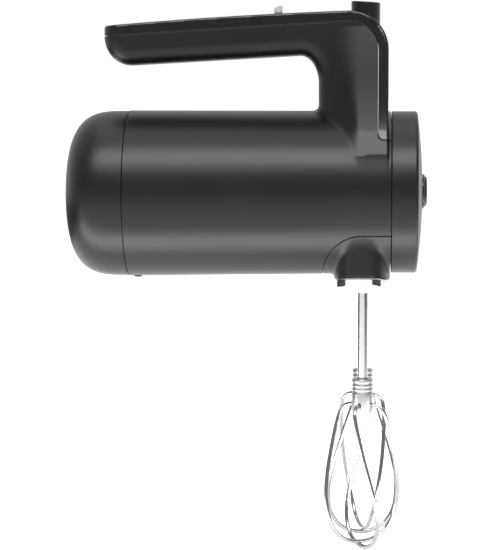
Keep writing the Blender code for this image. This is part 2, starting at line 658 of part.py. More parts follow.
def make_nose():
    """Make the nose cover with its pillar, the polished ring, the socket plate and socket bezels."""
    rear = SPINDLE_X - NOSE_SEAM_LENGTH - 2.0 * NOSE_HALF_X
    pillar_top = 21.0 * MM - BARREL_RADIUS
    cover = add_object("nose_cover", barrel_solid(rear, FRONT_SEAM_X - 0.5 * FIT_GAP))
    combine(cover, "INTERSECT", add_object("room", side_tool(nose_outline(0.0))))
    join(cover, saddle_solid(0.0, pillar_top, NOSE_LOW_Z, 0.0))
    cut(cover, barrel_solid(rear - OVERCUT, FRONT_SEAM_X + OVERCUT, WALL))
    cut(cover, saddle_solid(WALL, pillar_top + 14.0 * MM, NOSE_LOW_Z - 5.0 * MM, 0.0))
    dress(cover, "matte_black")
    ring_top = NOSE_LOW_Z - FIT_GAP
    ring_low = ring_top - RING_HEIGHT
    rings = [saddle_ring(0.3 * MM, ring_top), saddle_ring(0.0, ring_top - 1.0 * MM),
             saddle_ring(0.0, ring_low + 1.6 * MM), saddle_ring(1.0 * MM, ring_low),
             saddle_ring(WALL, ring_low), saddle_ring(WALL, ring_top)]
    add_object("socket_ring", loft(rings, flat_sides=False, endless=True), "chrome")
    plate_top = SOCKET_LOW_Z + SOCKET_HEIGHT
    shape = loft([saddle_ring(WALL + FIT_GAP, plate_top - PLATE_THICKNESS, 0.0),
                  saddle_ring(WALL + FIT_GAP, plate_top, 0.0)])
    plate = add_object("socket_plate", shape)
    for side, sign in SIDES.items():
        centre = (SPINDLE_X, sign * SPINDLE_Y, 0.0)
        cut(plate, cylinder("Z", centre, SOCKET_RADIUS + FIT_GAP, SOCKET_LOW_Z, plate_top + OVERCUT, 32))
        bore = SHAFT_RADIUS + 2.0 * RUN_GAP
        profile = [(bore, SOCKET_LOW_Z), (SOCKET_LOW_RADIUS, SOCKET_LOW_Z),
                   (SOCKET_RADIUS, SOCKET_LOW_Z + 2.3 * MM), (SOCKET_RADIUS, plate_top), (bore, plate_top)]
        add_object(side + "_socket_bezel", turned(profile, "Z", centre, 24), "chrome")
    dress(plate, "matte_black")


def make_flap():
    """Make the rubber flap over the charging port, on an empty at its hinge."""
    radius = 0.5 * FLAP_THICKNESS
    centre = (FLAP_FRONT_X - radius, FLAP_LOW_Z + radius)
    outline = arc(centre, radius, -90.0, 90.0, 6)
    outline += [(FLAP_REAR_X, FLAP_LOW_Z + FLAP_THICKNESS), (FLAP_REAR_X, FLAP_LOW_Z + 0.5 * MM),
                (FLAP_REAR_X + 0.5 * MM, FLAP_LOW_Z)]
    flap = add_object("charge_port_flap", extruded(outline, "XZ", -FLAP_HALF_WIDTH, FLAP_HALF_WIDTH))
    dress(flap, "black_rubber")
    hang([flap], joint_empty("flap_hinge", (centre[0], 0.0, centre[1])))


# ---------------------------------------------------------------- controls

def make_eject():
    """Make the eject button with its rod, yoke and return spring."""
    crown = [(0.0, BUTTON_TOP_Z), (0.55 * BUTTON_RADIUS, BUTTON_TOP_Z - 0.4 * MM),
             (BUTTON_RADIUS - 0.8 * MM, BUTTON_TOP_Z - 1.3 * MM), (BUTTON_RADIUS, BUTTON_TOP_Z - 2.4 * MM)]
    low = BUTTON_TOP_Z - BUTTON_HEIGHT
    profile = crown + [(BUTTON_RADIUS, low), (ROD_RADIUS + 0.5 * MM + FIT_GAP, low),
                       (ROD_RADIUS + 0.5 * MM + FIT_GAP, low + 4.0 * MM), (0.0, low + 4.0 * MM)]
    button = add_object("eject_button", turned(profile, "Z", (BUTTON_X, 0, 0), 24), "gloss_black")
    rod_top = low + 4.0 * MM - FIT_GAP
    rod = add_object("eject_rod", cylinder("Z", (BUTTON_X, 0, 0), ROD_RADIUS, YOKE_TOP_Z + FIT_GAP,
                                           rod_top, 16), "white_nylon")
    yoke_low = YOKE_TOP_Z - YOKE_THICKNESS
    yoke = add_object("eject_yoke", block((SPINDLE_X - 5.0 * MM, -SPINDLE_Y - 4.0 * MM, yoke_low),
                                          (SPINDLE_X + 5.0 * MM, SPINDLE_Y + 4.0 * MM, YOKE_TOP_Z)))
    for sign in SIDES.values():
        join(yoke, cylinder("Z", (SPINDLE_X, sign * SPINDLE_Y, 0), SHAFT_RADIUS - 0.25 * MM,
                            YOKE_PIN_LOW_Z, YOKE_TOP_Z - 1.0 * MM, 16))
    dress(yoke, "white_nylon")
    spring = make_spring("eject_spring", SPRING_SEAT_Z + FIT_GAP, low - FIT_GAP)
    hang([button, rod, yoke, spring], joint_empty("eject_slide", (BUTTON_X, 0.0, BUTTON_TOP_Z)))


def make_spring(name, low, high):
    """Make a compression spring round the eject rod."""
    low, high = low + SPRING_WIRE, high - SPRING_WIRE
    steps = 10 * SPRING_TURNS
    points = []
    for i in range(steps + 1):
        angle = 2.0 * math.pi * i / 10.0
        points.append((BUTTON_X + SPRING_RADIUS * math.cos(angle), SPRING_RADIUS * math.sin(angle),
                       low + (high - low) * i / steps))
    return add_object(name, tube(points, SPRING_WIRE, 6), "steel")


def tube(points, radius, sides):
    """Return a round wire along points, with flat ends."""
    points = [Vector(point) for point in points]
    rings = []
    across = None
    for i, point in enumerate(points):
        before, after = points[max(0, i - 1)], points[min(len(points) - 1, i + 1)]
        ahead = (after - before).normalized()
        if across is None:
            across = ahead.orthogonal().normalized()
        across = (across - ahead * across.dot(ahead)).normalized()
        side = ahead.cross(across)
        ring = []
        for j in range(sides):
            angle = 2.0 * math.pi * j / sides
            ring.append(point + radius * (math.cos(angle) * across + math.sin(angle) * side))
        rings.append(ring)
    return loft(rings)


def make_speed_control():
    """Make the speed slider's knob and carriage, its detent spring and the switch board."""
    start, end = SLIDER_REAR_X, SLIDER_REAR_X + SLIDER_LENGTH
    foot = cover_line_z(start) - 1.0 * MM
    outline = [(start, foot), (end, foot), (end, SLIDER_TOP_Z - 1.0 * MM), (end - 1.0 * MM, SLIDER_TOP_Z),
               (start + 1.2 * MM, SLIDER_TOP_Z), (start, SLIDER_TOP_Z - 1.2 * MM)]
    knob = add_object("speed_slider_knob", extruded(outline, "XZ", -SLIDER_HALF_WIDTH, SLIDER_HALF_WIDTH))
    dress(knob, "slider_silver")
    top = foot - FIT_GAP
    carriage = add_object("speed_slider_carriage", block(
        (start - 4.0 * MM, -9.0 * MM, top - 3.0 * MM), (end + 4.0 * MM, 9.0 * MM, top)), "white_nylon")
    hang([knob, carriage], joint_empty("speed_slide", (0.5 * (start + end), 0.0, SLIDER_TOP_Z)))
    spring_z = top - 3.0 * MM - 1.6 * MM
    leaf = [(start - 3.0 * MM, spring_z), (end + SLIDER_TRAVEL, spring_z + 1.2 * MM),
            (end + SLIDER_TRAVEL, spring_z + 1.6 * MM), (start - 3.0 * MM, spring_z + 0.5 * MM)]
    add_object("speed_detent_spring", extruded(leaf, "XZ", -2.5 * MM, 2.5 * MM), "steel")
    board_z = spring_z - 3.0 * MM
    rear, front = start - 20.4 * MM, end + SLIDER_TRAVEL + 2.5 * MM
    rear_z, front_z = board_z - 1.2 * MM, board_z + 1.2 * MM
    board = [(rear, rear_z), (front, front_z), (front, front_z + BOARD_THICKNESS),
             (rear, rear_z + BOARD_THICKNESS)]
    add_object("speed_switch_board", extruded(board, "XZ", -10.0 * MM, 10.0 * MM), "board_green")


# ---------------------------------------------------------------- drive

def make_motor():
    """Make the motor's can, end bell, bearings, brush holders and everything on its shaft."""
    rear, front = MOTOR_REAR_X, MOTOR_REAR_X + MOTOR_LENGTH
    seat = BEARING_RADIUS + FIT_GAP
    can = [(seat, front), (MOTOR_RADIUS, front), (MOTOR_RADIUS, rear),
           (MOTOR_RADIUS - MOTOR_WALL, rear), (MOTOR_RADIUS - MOTOR_WALL, front - BEARING_WIDTH),
           (seat, front - BEARING_WIDTH)]
    add_object("motor_can", turned(can, "X", (0, 0, 0), 24), "steel")
    add_object("motor_end_bell", sleeve("X", (0, 0, 0), MOTOR_RADIUS, seat, rear - FIT_GAP - BEARING_WIDTH,
                                        rear - FIT_GAP, 24), "grey_plastic")
    bore = MOTOR_SHAFT_RADIUS + RUN_GAP
    add_object("motor_front_bearing", sleeve("X", (0, 0, 0), BEARING_RADIUS, bore,
                                             front - BEARING_WIDTH, front), "bronze")
    add_object("motor_rear_bearing", sleeve("X", (0, 0, 0), BEARING_RADIUS, bore,
                                            rear - FIT_GAP - BEARING_WIDTH, rear - FIT_GAP), "bronze")
    for side, sign in SIDES.items():
        near, far = sorted((sign * 5.5 * MM, sign * 14.0 * MM))
        add_object("brush_holder_" + side, block((rear + 3.0 * MM, near, -2.5 * MM),
                                                 (rear + 9.0 * MM, far, 2.5 * MM)), "carbon")
    make_rotor(rear, front)


def make_rotor(rear, front):
    """Make the shaft, rotor core, commutator, fan and worm, which turn together."""
    shaft_end = SPINDLE_X + 0.5 * WORM_LENGTH
    shaft = add_object("motor_shaft", cylinder("X", (0, 0, 0), MOTOR_SHAFT_RADIUS, rear - 8.0 * MM,
                                               shaft_end + 1.0 * MM, 16), "steel")
    bore = MOTOR_SHAFT_RADIUS + FIT_GAP
    core = add_object("rotor_core", sleeve("X", (0, 0, 0), 12.0 * MM, bore, rear + 14.0 * MM,
                                           front - 8.0 * MM, 24), "copper")
    commutator = add_object("commutator", sleeve("X", (0, 0, 0), 4.8 * MM, bore, rear + 2.0 * MM,
                                                 rear + 11.0 * MM, 20), "copper")
    fan = make_fan(bore)
    worm = make_worm(bore, shaft_end)
    hang([shaft, core, commutator, fan, worm], joint_empty("motor_axis", (rear, 0.0, 0.0)))


def make_fan(bore):
    """Make the cooling fan: a hub with straight blades."""
    outline = []
    for i in range(FAN_BLADES):
        centre = 2.0 * math.pi * i / FAN_BLADES
        for radius, offset in ((6.0 * MM, -0.34), (FAN_RADIUS, -0.05), (FAN_RADIUS, 0.05), (6.0 * MM, 0.26)):
            outline.append((radius * math.cos(centre + offset), radius * math.sin(centre + offset)))
    fan = add_object("cooling_fan", extruded(outline, "YZ", FAN_X, FAN_X + FAN_WIDTH))
    cut(fan, cylinder("X", (0, 0, 0), bore, FAN_X - 1.0 * MM, FAN_X + FAN_WIDTH + 1.0 * MM, 16))
    dress(fan, "grey_plastic")
    return fan


def make_worm(bore, shaft_end):
    """Make the worm: a sleeve with one thread round it, cut from stations along its helix."""
    start = shaft_end - WORM_LENGTH
    around, along = 12, 5 * round(WORM_LENGTH / WORM_PITCH)
    rows = []
    for k in range(along + 1):
        x = start + WORM_LENGTH * k / along
        row = []
        for i in range(around):
            angle = 2.0 * math.pi * i / around
            phase = ((x - SPINDLE_X) / WORM_PITCH - i / around) % 1.0
            crest = max(0.0, 1.0 - abs(phase - 0.5) / THREAD_HALF_SHARE) if 0 < k < along else 0.0
            radius = WORM_ROOT_RADIUS + (WORM_RADIUS - WORM_ROOT_RADIUS) * min(1.0, 2.0 * crest)
            row.append((x, radius * math.cos(angle), radius * math.sin(angle)))
        rows.append(row)
    worm = add_object("worm", loft(rows))
    cut(worm, cylinder("X", (0, 0, 0), bore, start - 1.0 * MM, shaft_end + 1.0 * MM, 16))
    dress(worm, "steel")
    return worm


def make_gearbox():
    """Make the gearbox frame and cover with their bushes and screws."""
    low, top = FRAME_LOW_Z, FRAME_LOW_Z + FRAME_THICKNESS
    near, far = SPINDLE_X - FRAME_HALF_X, SPINDLE_X + FRAME_HALF_X
    frame = add_object("gearbox_frame", block((near, -FRAME_HALF_Y, low), (far, FRAME_HALF_Y, top)))
    plate = add_object("gearbox_cover", block((near, -FRAME_HALF_Y, COVER_PLATE_Z),
                                              (far, FRAME_HALF_Y, COVER_PLATE_Z + COVER_PLATE_THICKNESS)))
    cover_top = COVER_PLATE_Z + COVER_PLATE_THICKNESS
    index = 0
    for x in (near + POST_INSET, far - POST_INSET):
        for sign in (-1.0, 1.0):
            index += 1
            centre = (x, sign * (FRAME_HALF_Y - POST_INSET), 0.0)
            join(frame, cylinder("Z", centre, POST_RADIUS, top - 1.0 * MM, COVER_PLATE_Z - FIT_GAP, 12))
            hole = SCREW_RADIUS + FIT_GAP
            tip = top + 4.0 * MM
            cut(frame, cylinder("Z", centre, hole, tip - OVERCUT, COVER_PLATE_Z + OVERCUT, 12))
            cut(plate, cylinder("Z", centre, hole, COVER_PLATE_Z - OVERCUT, cover_top + OVERCUT, 12))
            head = cover_top + FIT_GAP
            head_top = head + SCREW_HEAD_HEIGHT
            profile = [(0.0, tip), (SCREW_RADIUS, tip), (SCREW_RADIUS, head),
                       (SCREW_HEAD_RADIUS, head), (SCREW_HEAD_RADIUS, head_top), (0.0, head_top)]
            add_object("gearbox_screw_%d" % index, turned(profile, "Z", centre, 12), "steel")
    for side, sign in SIDES.items():
        centre = (SPINDLE_X, sign * SPINDLE_Y, 0.0)
        hole = BUSH_RADIUS + FIT_GAP
        cut(frame, cylinder("Z", centre, hole, low - 1.0 * MM, top + 1.0 * MM, 24))
        cut(plate, cylinder("Z", centre, hole, COVER_PLATE_Z - 1.0 * MM, cover_top + 1.0 * MM, 24))
        bore = SPINDLE_RADIUS + RUN_GAP
        add_object(side + "_lower_bush", sleeve("Z", centre, BUSH_RADIUS, bore, low, top), "bronze")
        add_object(side + "_upper_bush", sleeve("Z", centre, BUSH_RADIUS, bore, COVER_PLATE_Z, cover_top),
                   "bronze")
    dress(frame, "grey_plastic")
    dress(plate, "grey_plastic")


def make_wheel(side, centre):
    """Make a worm wheel with slanted teeth, bored for its spindle."""
    slant = WORM_PITCH / (2.0 * math.pi * MESH_RADIUS) * WHEEL_THICKNESS / WHEEL_RADIUS
    first = 0.0 if side == "left" else 0.5
    rings = []
    for level in (-0.5, 0.0, 0.5):
        ring = []
        for i in range(WHEEL_TEETH):
            for radius, share in ((WHEEL_RADIUS - TOOTH_DEPTH, -0.30), (WHEEL_RADIUS, -0.12),
                                  (WHEEL_RADIUS, 0.12), (WHEEL_RADIUS - TOOTH_DEPTH, 0.30)):
                angle = 2.0 * math.pi * (i + first + share) / WHEEL_TEETH + slant * level
                ring.append((centre[0] + radius * math.cos(angle), centre[1] + radius * math.sin(angle),
                             level * WHEEL_THICKNESS))
        rings.append(ring)
    wheel = add_object(side + "_worm_wheel", loft(rings))
    cut(wheel, cylinder("Z", centre, SPINDLE_RADIUS + FIT_GAP, -WHEEL_THICKNESS, WHEEL_THICKNESS, 24))
    dress(wheel, "white_nylon")
    return wheel


def make_spindles():
    """Make each side's worm wheel and hollow spindle, with the whisk that plugs into it."""
    for side, sign in SIDES.items():
        centre = (SPINDLE_X, sign * SPINDLE_Y, 0.0)
        wheel = make_wheel(side, centre)
        low = SOCKET_LOW_Z + SOCKET_HEIGHT + FIT_GAP
        top = COVER_PLATE_Z + COVER_PLATE_THICKNESS + 1.5 * MM
        spindle = add_object(side + "_spindle", sleeve("Z", centre, SPINDLE_RADIUS, SHAFT_RADIUS + RUN_GAP,
                                                       low, top), "steel")
        axis = joint_empty(side + "_spindle_axis", centre)
        hang([wheel, spindle], axis)
        whisk = joint_empty(side + "_beater_slide", (centre[0], centre[1], SHAFT_TOP_Z))
        hang(make_whisk(side, centre), whisk)
        hang([whisk], axis)


# ---------------------------------------------------------------- whisks

def whisk_profile():
    """Return the wire's (radius, height) points, from inside the hub to the bottom."""
    wide_z = WIRE_EXIT_Z - WIDEST_BELOW_EXIT
    belly = WHISK_RADIUS
    return [(3.4 * MM, WIRE_EXIT_Z), (8.0 * MM, WIRE_EXIT_Z), (12.0 * MM, WIRE_EXIT_Z - 2.8 * MM),
            (14.0 * MM, WIRE_EXIT_Z - 9.0 * MM), (0.82 * belly, WIRE_EXIT_Z - 25.0 * MM),
            (0.945 * belly, WIRE_EXIT_Z - 40.0 * MM), (belly, wide_z), (0.93 * belly, wide_z - 12.5 * MM),
            (0.68 * belly, wide_z - 21.5 * MM), (0.34 * belly, WHISK_LOW_Z + 1.0 * MM), (0.0, WHISK_LOW_Z)]


def smooth_curve(points, count):
    """Return evenly spread points of a smooth curve through points."""
    dense = []
    ends = [tuple(2.0 * a - b for a, b in zip(points[0], points[1]))]
    last = (-points[-2][0], points[-2][1])
    path = ends + list(points) + [last]
    for p0, p1, p2, p3 in zip(path, path[1:], path[2:], path[3:]):
        for step in range(12):
            t = step / 12.0
            dense.append(tuple(0.5 * (2.0 * b + (c - a) * t + (2.0 * a - 5.0 * b + 4.0 * c - d) * t * t
                                      + (3.0 * b - a - 3.0 * c + d) * t ** 3)
                               for a, b, c, d in zip(p0, p1, p2, p3)))
    dense.append(tuple(points[-1]))
    lengths = [0.0]
    for first, second in zip(dense, dense[1:]):
        lengths.append(lengths[-1] + math.dist(first, second))
    result, index = [], 0
    for i in range(count):
        target = lengths[-1] * i / (count - 1)
        while index < len(dense) - 2 and lengths[index + 1] < target:
            index += 1
        span = lengths[index + 1] - lengths[index]
        share = (target - lengths[index]) / span
        result.append(tuple(a + (b - a) * share for a, b in zip(dense[index], dense[index + 1])))
    return result


def loop_points(side, centre, quarter, lift):
    """Return one loop's wire points: down one side, under the bottom and up the other."""
    sign = SIDES[side]
    shoulder = WIRE_EXIT_Z - 2.8 * MM
    half = []
    for radius, height in smooth_curve(whisk_profile(), WIRE_POINTS):
        share = min(1.0, max(0.0, (shoulder - height) / (shoulder - WHISK_LOW_Z)))
        twist = -sign * WHISK_TWIST * (1.0 - (1.0 - share) ** 1.6)
        angle = WHISK_PHASE[side] + math.radians(90.0) * quarter + twist
        height = height + lift * share ** 3
        half.append((radius, angle, height))
    points = []
    for radius, angle, height in half:
        points.append((centre[0] + radius * math.cos(angle), centre[1] + radius * math.sin(angle), height))
    for radius, angle, height in reversed(half[:-1]):
        points.append((centre[0] - radius * math.cos(angle), centre[1] - radius * math.sin(angle), height))
    return points


def make_whisk(side, centre):
    """Make one whisk: its shaft, ribbed hub and two crossed wire loops."""
    shaft_low = HUB_TOP_Z - SHAFT_IN_HUB
    chamfer = 0.8 * MM
    profile = [(0.0, shaft_low), (SHAFT_RADIUS, shaft_low), (SHAFT_RADIUS, SHAFT_TOP_Z - chamfer),
               (SHAFT_RADIUS - chamfer, SHAFT_TOP_Z), (0.0, SHAFT_TOP_Z)]
    shaft = add_object(side + "_beater_shaft", turned(profile, "Z", centre, 20), "stainless")
    hub = make_hub(side, centre, shaft_low)
    first = add_object(side + "_beater_loop_low", tube(loop_points(side, centre, 1, 0.0), WIRE_RADIUS, 6))
    lift = 2.0 * WIRE_RADIUS + FIT_GAP
    second = add_object(side + "_beater_loop_high", tube(loop_points(side, centre, 0, lift), WIRE_RADIUS, 6))
    for loop in (first, second):
        dress(loop, "stainless")
    return [shaft, hub, first, second]


def make_hub(side, centre, shaft_low):
    """Make the whisk's hub: grooved at the top, with four holes for the wires' ends."""
    bore = SHAFT_RADIUS + FIT_GAP
    profile = [(bore, HUB_TOP_Z), (HUB_RADIUS - 0.5 * MM, HUB_TOP_Z), (HUB_RADIUS, HUB_TOP_Z - 0.5 * MM)]
    for i in range(HUB_RIBS):
        top = HUB_TOP_Z - 2.2 * MM - 2.2 * MM * i
        profile += [(HUB_RADIUS, top), (HUB_RADIUS - HUB_GROOVE, top - 0.3 * MM),
                    (HUB_RADIUS - HUB_GROOVE, top - 0.8 * MM), (HUB_RADIUS, top - 1.1 * MM)]
    floor = shaft_low - FIT_GAP
    profile += [(HUB_RADIUS, HUB_LOW_Z + 0.6 * MM), (HUB_RADIUS - 0.6 * MM, HUB_LOW_Z), (0.0, HUB_LOW_Z),
                (0.0, floor), (bore, floor)]
    hub = add_object(side + "_beater_hub", turned_mixed(profile, centre))
    for quarter in range(4):
        angle = WHISK_PHASE[side] + math.radians(90.0) * quarter
        hole = cylinder("X", (0.0, 0.0, 0.0), WIRE_RADIUS + FIT_GAP, 3.1 * MM, 9.0 * MM, 12)
        hole.transform(Matrix.Rotation(angle, 4, "Z"))
        hole.transform(Matrix.Translation((centre[0], centre[1], WIRE_EXIT_Z)))
        cut(hub, hole)
    dress(hub, "hub_metal")
    return hub


def turned_mixed(profile, centre):
    """Return a turned solid with a blind bore, whose profile touches the axis only at its lower end."""
    on_axis = [i for i, point in enumerate(profile) if point[0] == 0.0]
    start = on_axis[-1]
    path = profile[start:] + profile[:on_axis[0] + 1]
    return turned(path, "Z", centre)


# ---------------------------------------------------------------- battery and electronics

def make_power():
    """Make the battery cells in their cradle, the control board and the charging socket."""
    cradle_x = CELL_REAR_X + 0.5 * (CELL_LENGTH - CRADLE_LENGTH)
    cradle = add_object("battery_cradle", cylinder("X", (0, 0, 0), CRADLE_RADIUS, cradle_x,
                                                   cradle_x + CRADLE_LENGTH, 24))
    for i in range(CELL_COUNT):
        angle = math.radians(90.0) + 2.0 * math.pi * i / CELL_COUNT
        centre = (0.0, CELL_CIRCLE * math.cos(angle), CELL_CIRCLE * math.sin(angle))
        cut(cradle, cylinder("X", centre, CELL_RADIUS + 2.0 * FIT_GAP, cradle_x - 1.0 * MM,
                             cradle_x + CRADLE_LENGTH + 1.0 * MM, 20))
        profile = [(0.0, CELL_REAR_X), (CELL_RADIUS - 0.6 * MM, CELL_REAR_X),
                   (CELL_RADIUS, CELL_REAR_X + 0.6 * MM), (CELL_RADIUS, CELL_REAR_X + CELL_LENGTH - 1.8 * MM),
                   (3.0 * MM, CELL_REAR_X + CELL_LENGTH - 1.4 * MM), (3.0 * MM, CELL_REAR_X + CELL_LENGTH),
                   (0.0, CELL_REAR_X + CELL_LENGTH)]
        add_object("battery_cell_%d" % (i + 1), turned(profile, "X", centre), "cell_blue")
    dress(cradle, "grey_plastic")
    board_x, board_z = MOTOR_REAR_X + 4.0 * MM, MOTOR_RADIUS + 5.5 * MM
    add_object("control_board", block((board_x, -BOARD_HALF_WIDTH, board_z),
                                      (board_x + BOARD_LENGTH, BOARD_HALF_WIDTH, board_z + BOARD_THICKNESS)),
               "board_green")
    half_x, half_y = 0.5 * PORT_WIDTH + 1.2 * MM, 0.5 * PORT_LENGTH + 1.5 * MM
    socket = add_object("charge_socket", block((PORT_X - half_x, -half_y, SOCKET_FLOOR_Z),
                                               (PORT_X + half_x, half_y, SOCKET_FLOOR_Z + 10.0 * MM)))
    cut(socket, block((PORT_X - 0.5 * PORT_WIDTH, -0.5 * PORT_LENGTH, SOCKET_FLOOR_Z - OVERCUT),
                      (PORT_X + 0.5 * PORT_WIDTH, 0.5 * PORT_LENGTH, SOCKET_FLOOR_Z + 8.0 * MM)))
    dress(socket, "grey_plastic")


def main():
    """Build the whole mixer."""
    clear_scene()
    make_housing()
    make_rear_cap()
    make_front()
    make_nose()
    make_flap()
    make_eject()
    make_speed_control()
    make_motor()
    make_gearbox()
    make_spindles()
    make_power()


main()
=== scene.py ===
"""Looks of a cordless hand mixer with two wire whisks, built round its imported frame.

Each sub-assembly is a class that holds its sizes, builds its meshes and dresses them with a finish.
The large casings are level surfaces of smooth distance fields, so that the upright of the handle flows
into the barrel; the turned pieces, the oval socket ring and the wires are swept from exact outlines.
"""

from __future__ import annotations

import json
import logging
import math
from dataclasses import dataclass
from enum import Enum
from typing import Any, Callable, Sequence

import bmesh
import bpy
import numpy as np
from mathutils import Matrix, Vector

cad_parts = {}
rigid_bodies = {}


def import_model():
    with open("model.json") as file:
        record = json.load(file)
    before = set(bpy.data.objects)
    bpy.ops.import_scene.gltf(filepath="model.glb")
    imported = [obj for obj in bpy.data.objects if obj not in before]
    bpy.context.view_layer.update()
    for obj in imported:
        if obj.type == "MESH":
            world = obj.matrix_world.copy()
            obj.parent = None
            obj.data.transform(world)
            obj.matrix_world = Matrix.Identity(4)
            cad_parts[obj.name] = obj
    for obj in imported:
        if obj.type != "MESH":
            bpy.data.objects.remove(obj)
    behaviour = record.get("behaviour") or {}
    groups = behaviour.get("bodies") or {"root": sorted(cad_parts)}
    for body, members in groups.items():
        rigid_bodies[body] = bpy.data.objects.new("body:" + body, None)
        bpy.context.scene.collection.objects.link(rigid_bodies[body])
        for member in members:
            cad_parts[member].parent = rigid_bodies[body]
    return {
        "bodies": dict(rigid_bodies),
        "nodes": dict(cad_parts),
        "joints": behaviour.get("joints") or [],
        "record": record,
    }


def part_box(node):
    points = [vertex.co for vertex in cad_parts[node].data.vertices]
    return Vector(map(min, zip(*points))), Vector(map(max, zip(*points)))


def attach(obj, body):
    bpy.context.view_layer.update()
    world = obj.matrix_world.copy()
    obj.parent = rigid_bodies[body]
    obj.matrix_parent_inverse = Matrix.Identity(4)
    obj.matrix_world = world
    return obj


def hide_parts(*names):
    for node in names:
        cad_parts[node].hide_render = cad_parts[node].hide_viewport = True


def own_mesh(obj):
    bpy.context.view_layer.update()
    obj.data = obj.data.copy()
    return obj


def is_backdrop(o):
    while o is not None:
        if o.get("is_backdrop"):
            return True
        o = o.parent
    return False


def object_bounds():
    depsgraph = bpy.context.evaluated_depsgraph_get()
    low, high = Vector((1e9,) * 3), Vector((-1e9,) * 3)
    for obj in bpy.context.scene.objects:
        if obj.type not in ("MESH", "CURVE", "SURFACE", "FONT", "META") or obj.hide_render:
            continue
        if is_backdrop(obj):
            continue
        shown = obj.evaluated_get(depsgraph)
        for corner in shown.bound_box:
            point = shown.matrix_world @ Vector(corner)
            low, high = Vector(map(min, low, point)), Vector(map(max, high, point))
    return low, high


LOG = logging.getLogger("hand_mixer")
MM = 0.001
Array = np.ndarray
FieldFunction = Callable[[Array], Array]


class Side(Enum):
    """The mixer's two sides, with the sign of their Y."""

    RIGHT = -1.0
    LEFT = 1.0

    @property
    def word(self) -> str:
        """Return the side's name as the frame's nodes spell it."""
        return self.name.lower()


# ------------------------------------------------------------------ shader building


class Graph:
    """A material's node tree, with one method that makes any node."""

    def __init__(self, name: str) -> None:
        """Start an empty material.

        Args:
            name: the material's name.
        """
        self.material = bpy.data.materials.new(name)
        self.material.use_nodes = True
        self.tree = self.material.node_tree
        self.tree.nodes.clear()

    def node(self, kind: str, settings: dict[str, Any] | None = None, **inputs: Any) -> bpy.types.Node:
        """Make a node, set its settings first and then its sockets.

        Args:
            kind: the node's type without the leading "ShaderNode".
            settings: attributes of the node; "stops" fills a colour ramp.
            inputs: values, links or wrapped values by socket name, with _ for a space.

        Returns:
            The new node.
        """
        made = self.tree.nodes.new("ShaderNode" + kind)
        for key, value in (settings or {}).items():
            if key == "stops":
                self._fill_ramp(made, value)
            else:
                setattr(made, key, value)
        for key, value in inputs.items():
            socket = self._socket(made, key)
            if isinstance(value, Value):
                self.tree.links.new(value.socket, socket)
            elif isinstance(value, bpy.types.NodeSocket):
                self.tree.links.new(value, socket)
            else:
                socket.default_value = value
        return made

    @staticmethod
    def _socket(made: bpy.types.Node, key: str) -> bpy.types.NodeSocket:
        """Return an input by name, or by number where the name is in_0, in_1 and so on."""
        if key.startswith("in_"):
            return made.inputs[int(key[3:])]
        return made.inputs[key.replace("_", " ")]

    @staticmethod
    def _fill_ramp(made: bpy.types.Node, stops: Sequence[tuple[float, float]]) -> None:
        """Give a colour ramp its grey stops."""
        ramp = made.color_ramp
        while len(ramp.elements) < len(stops):
            ramp.elements.new(1.0)
        for element, (position, grey) in zip(ramp.elements, stops):
            element.position = position
            element.color = (grey, grey, grey, 1.0)

    def position(self, stretch: tuple[float, float, float] = (1.0, 1.0, 1.0)) -> bpy.types.NodeSocket:
        """Return the piece's own coordinates in metres, stretched along each axis."""
        place = self.node("TexCoord").outputs["Object"]
        return self.node("Mapping", None, Vector=place, Scale=stretch).outputs["Vector"]

    def noise(self, scale: float, detail: float = 2.0, roughness: float = 0.5,
              stretch: tuple[float, float, float] = (1.0, 1.0, 1.0)) -> "Value":
        """Return a noise value about 0.5.

        Args:
            scale: features per metre.
            detail: octaves of finer noise.
            roughness: weight of the finer octaves.
            stretch: scale of each axis, for streaks.

        Returns:
            The wrapped noise.
        """
        made = self.node("TexNoise", None, Vector=self.position(stretch), Scale=scale, Detail=detail,
                         Roughness=roughness)
        return Value(self, made.outputs["Fac"])

    def cells(self, scale: float) -> "Value":
        """Return the distance to the nearest of many scattered points."""
        made = self.node("TexVoronoi", None, Vector=self.position(), Scale=scale)
        return Value(self, made.outputs["Distance"])

    def ramp(self, value: "Value", stops: Sequence[tuple[float, float]]) -> "Value":
        """Return a value sent through a ramp of grey stops."""
        made = self.node("ValToRGB", {"stops": stops}, Fac=value)
        return Value(self, made.outputs["Color"])

    def blend(self, share: "Value", first: Sequence[float], second: Sequence[float]) -> bpy.types.NodeSocket:
        """Return a colour between two colours."""
        made = self.node("Mix", {"data_type": "RGBA"}, in_0=share, in_6=(*first, 1.0), in_7=(*second, 1.0))
        return made.outputs[2]

    def bump(self, height: "Value", strength: float, distance: float) -> bpy.types.NodeSocket:
        """Return a normal that follows a height."""
        made = self.node("Bump", None, Height=height, Strength=strength, Distance=distance)
        return made.outputs["Normal"]

    def finish(self, **sockets: Any) -> bpy.types.Material:
        """End the tree with a Principled shader and return the material."""
        shader = self.node("BsdfPrincipled", None, **sockets)
        self.node("OutputMaterial", None, Surface=shader.outputs["BSDF"])
        return self.material


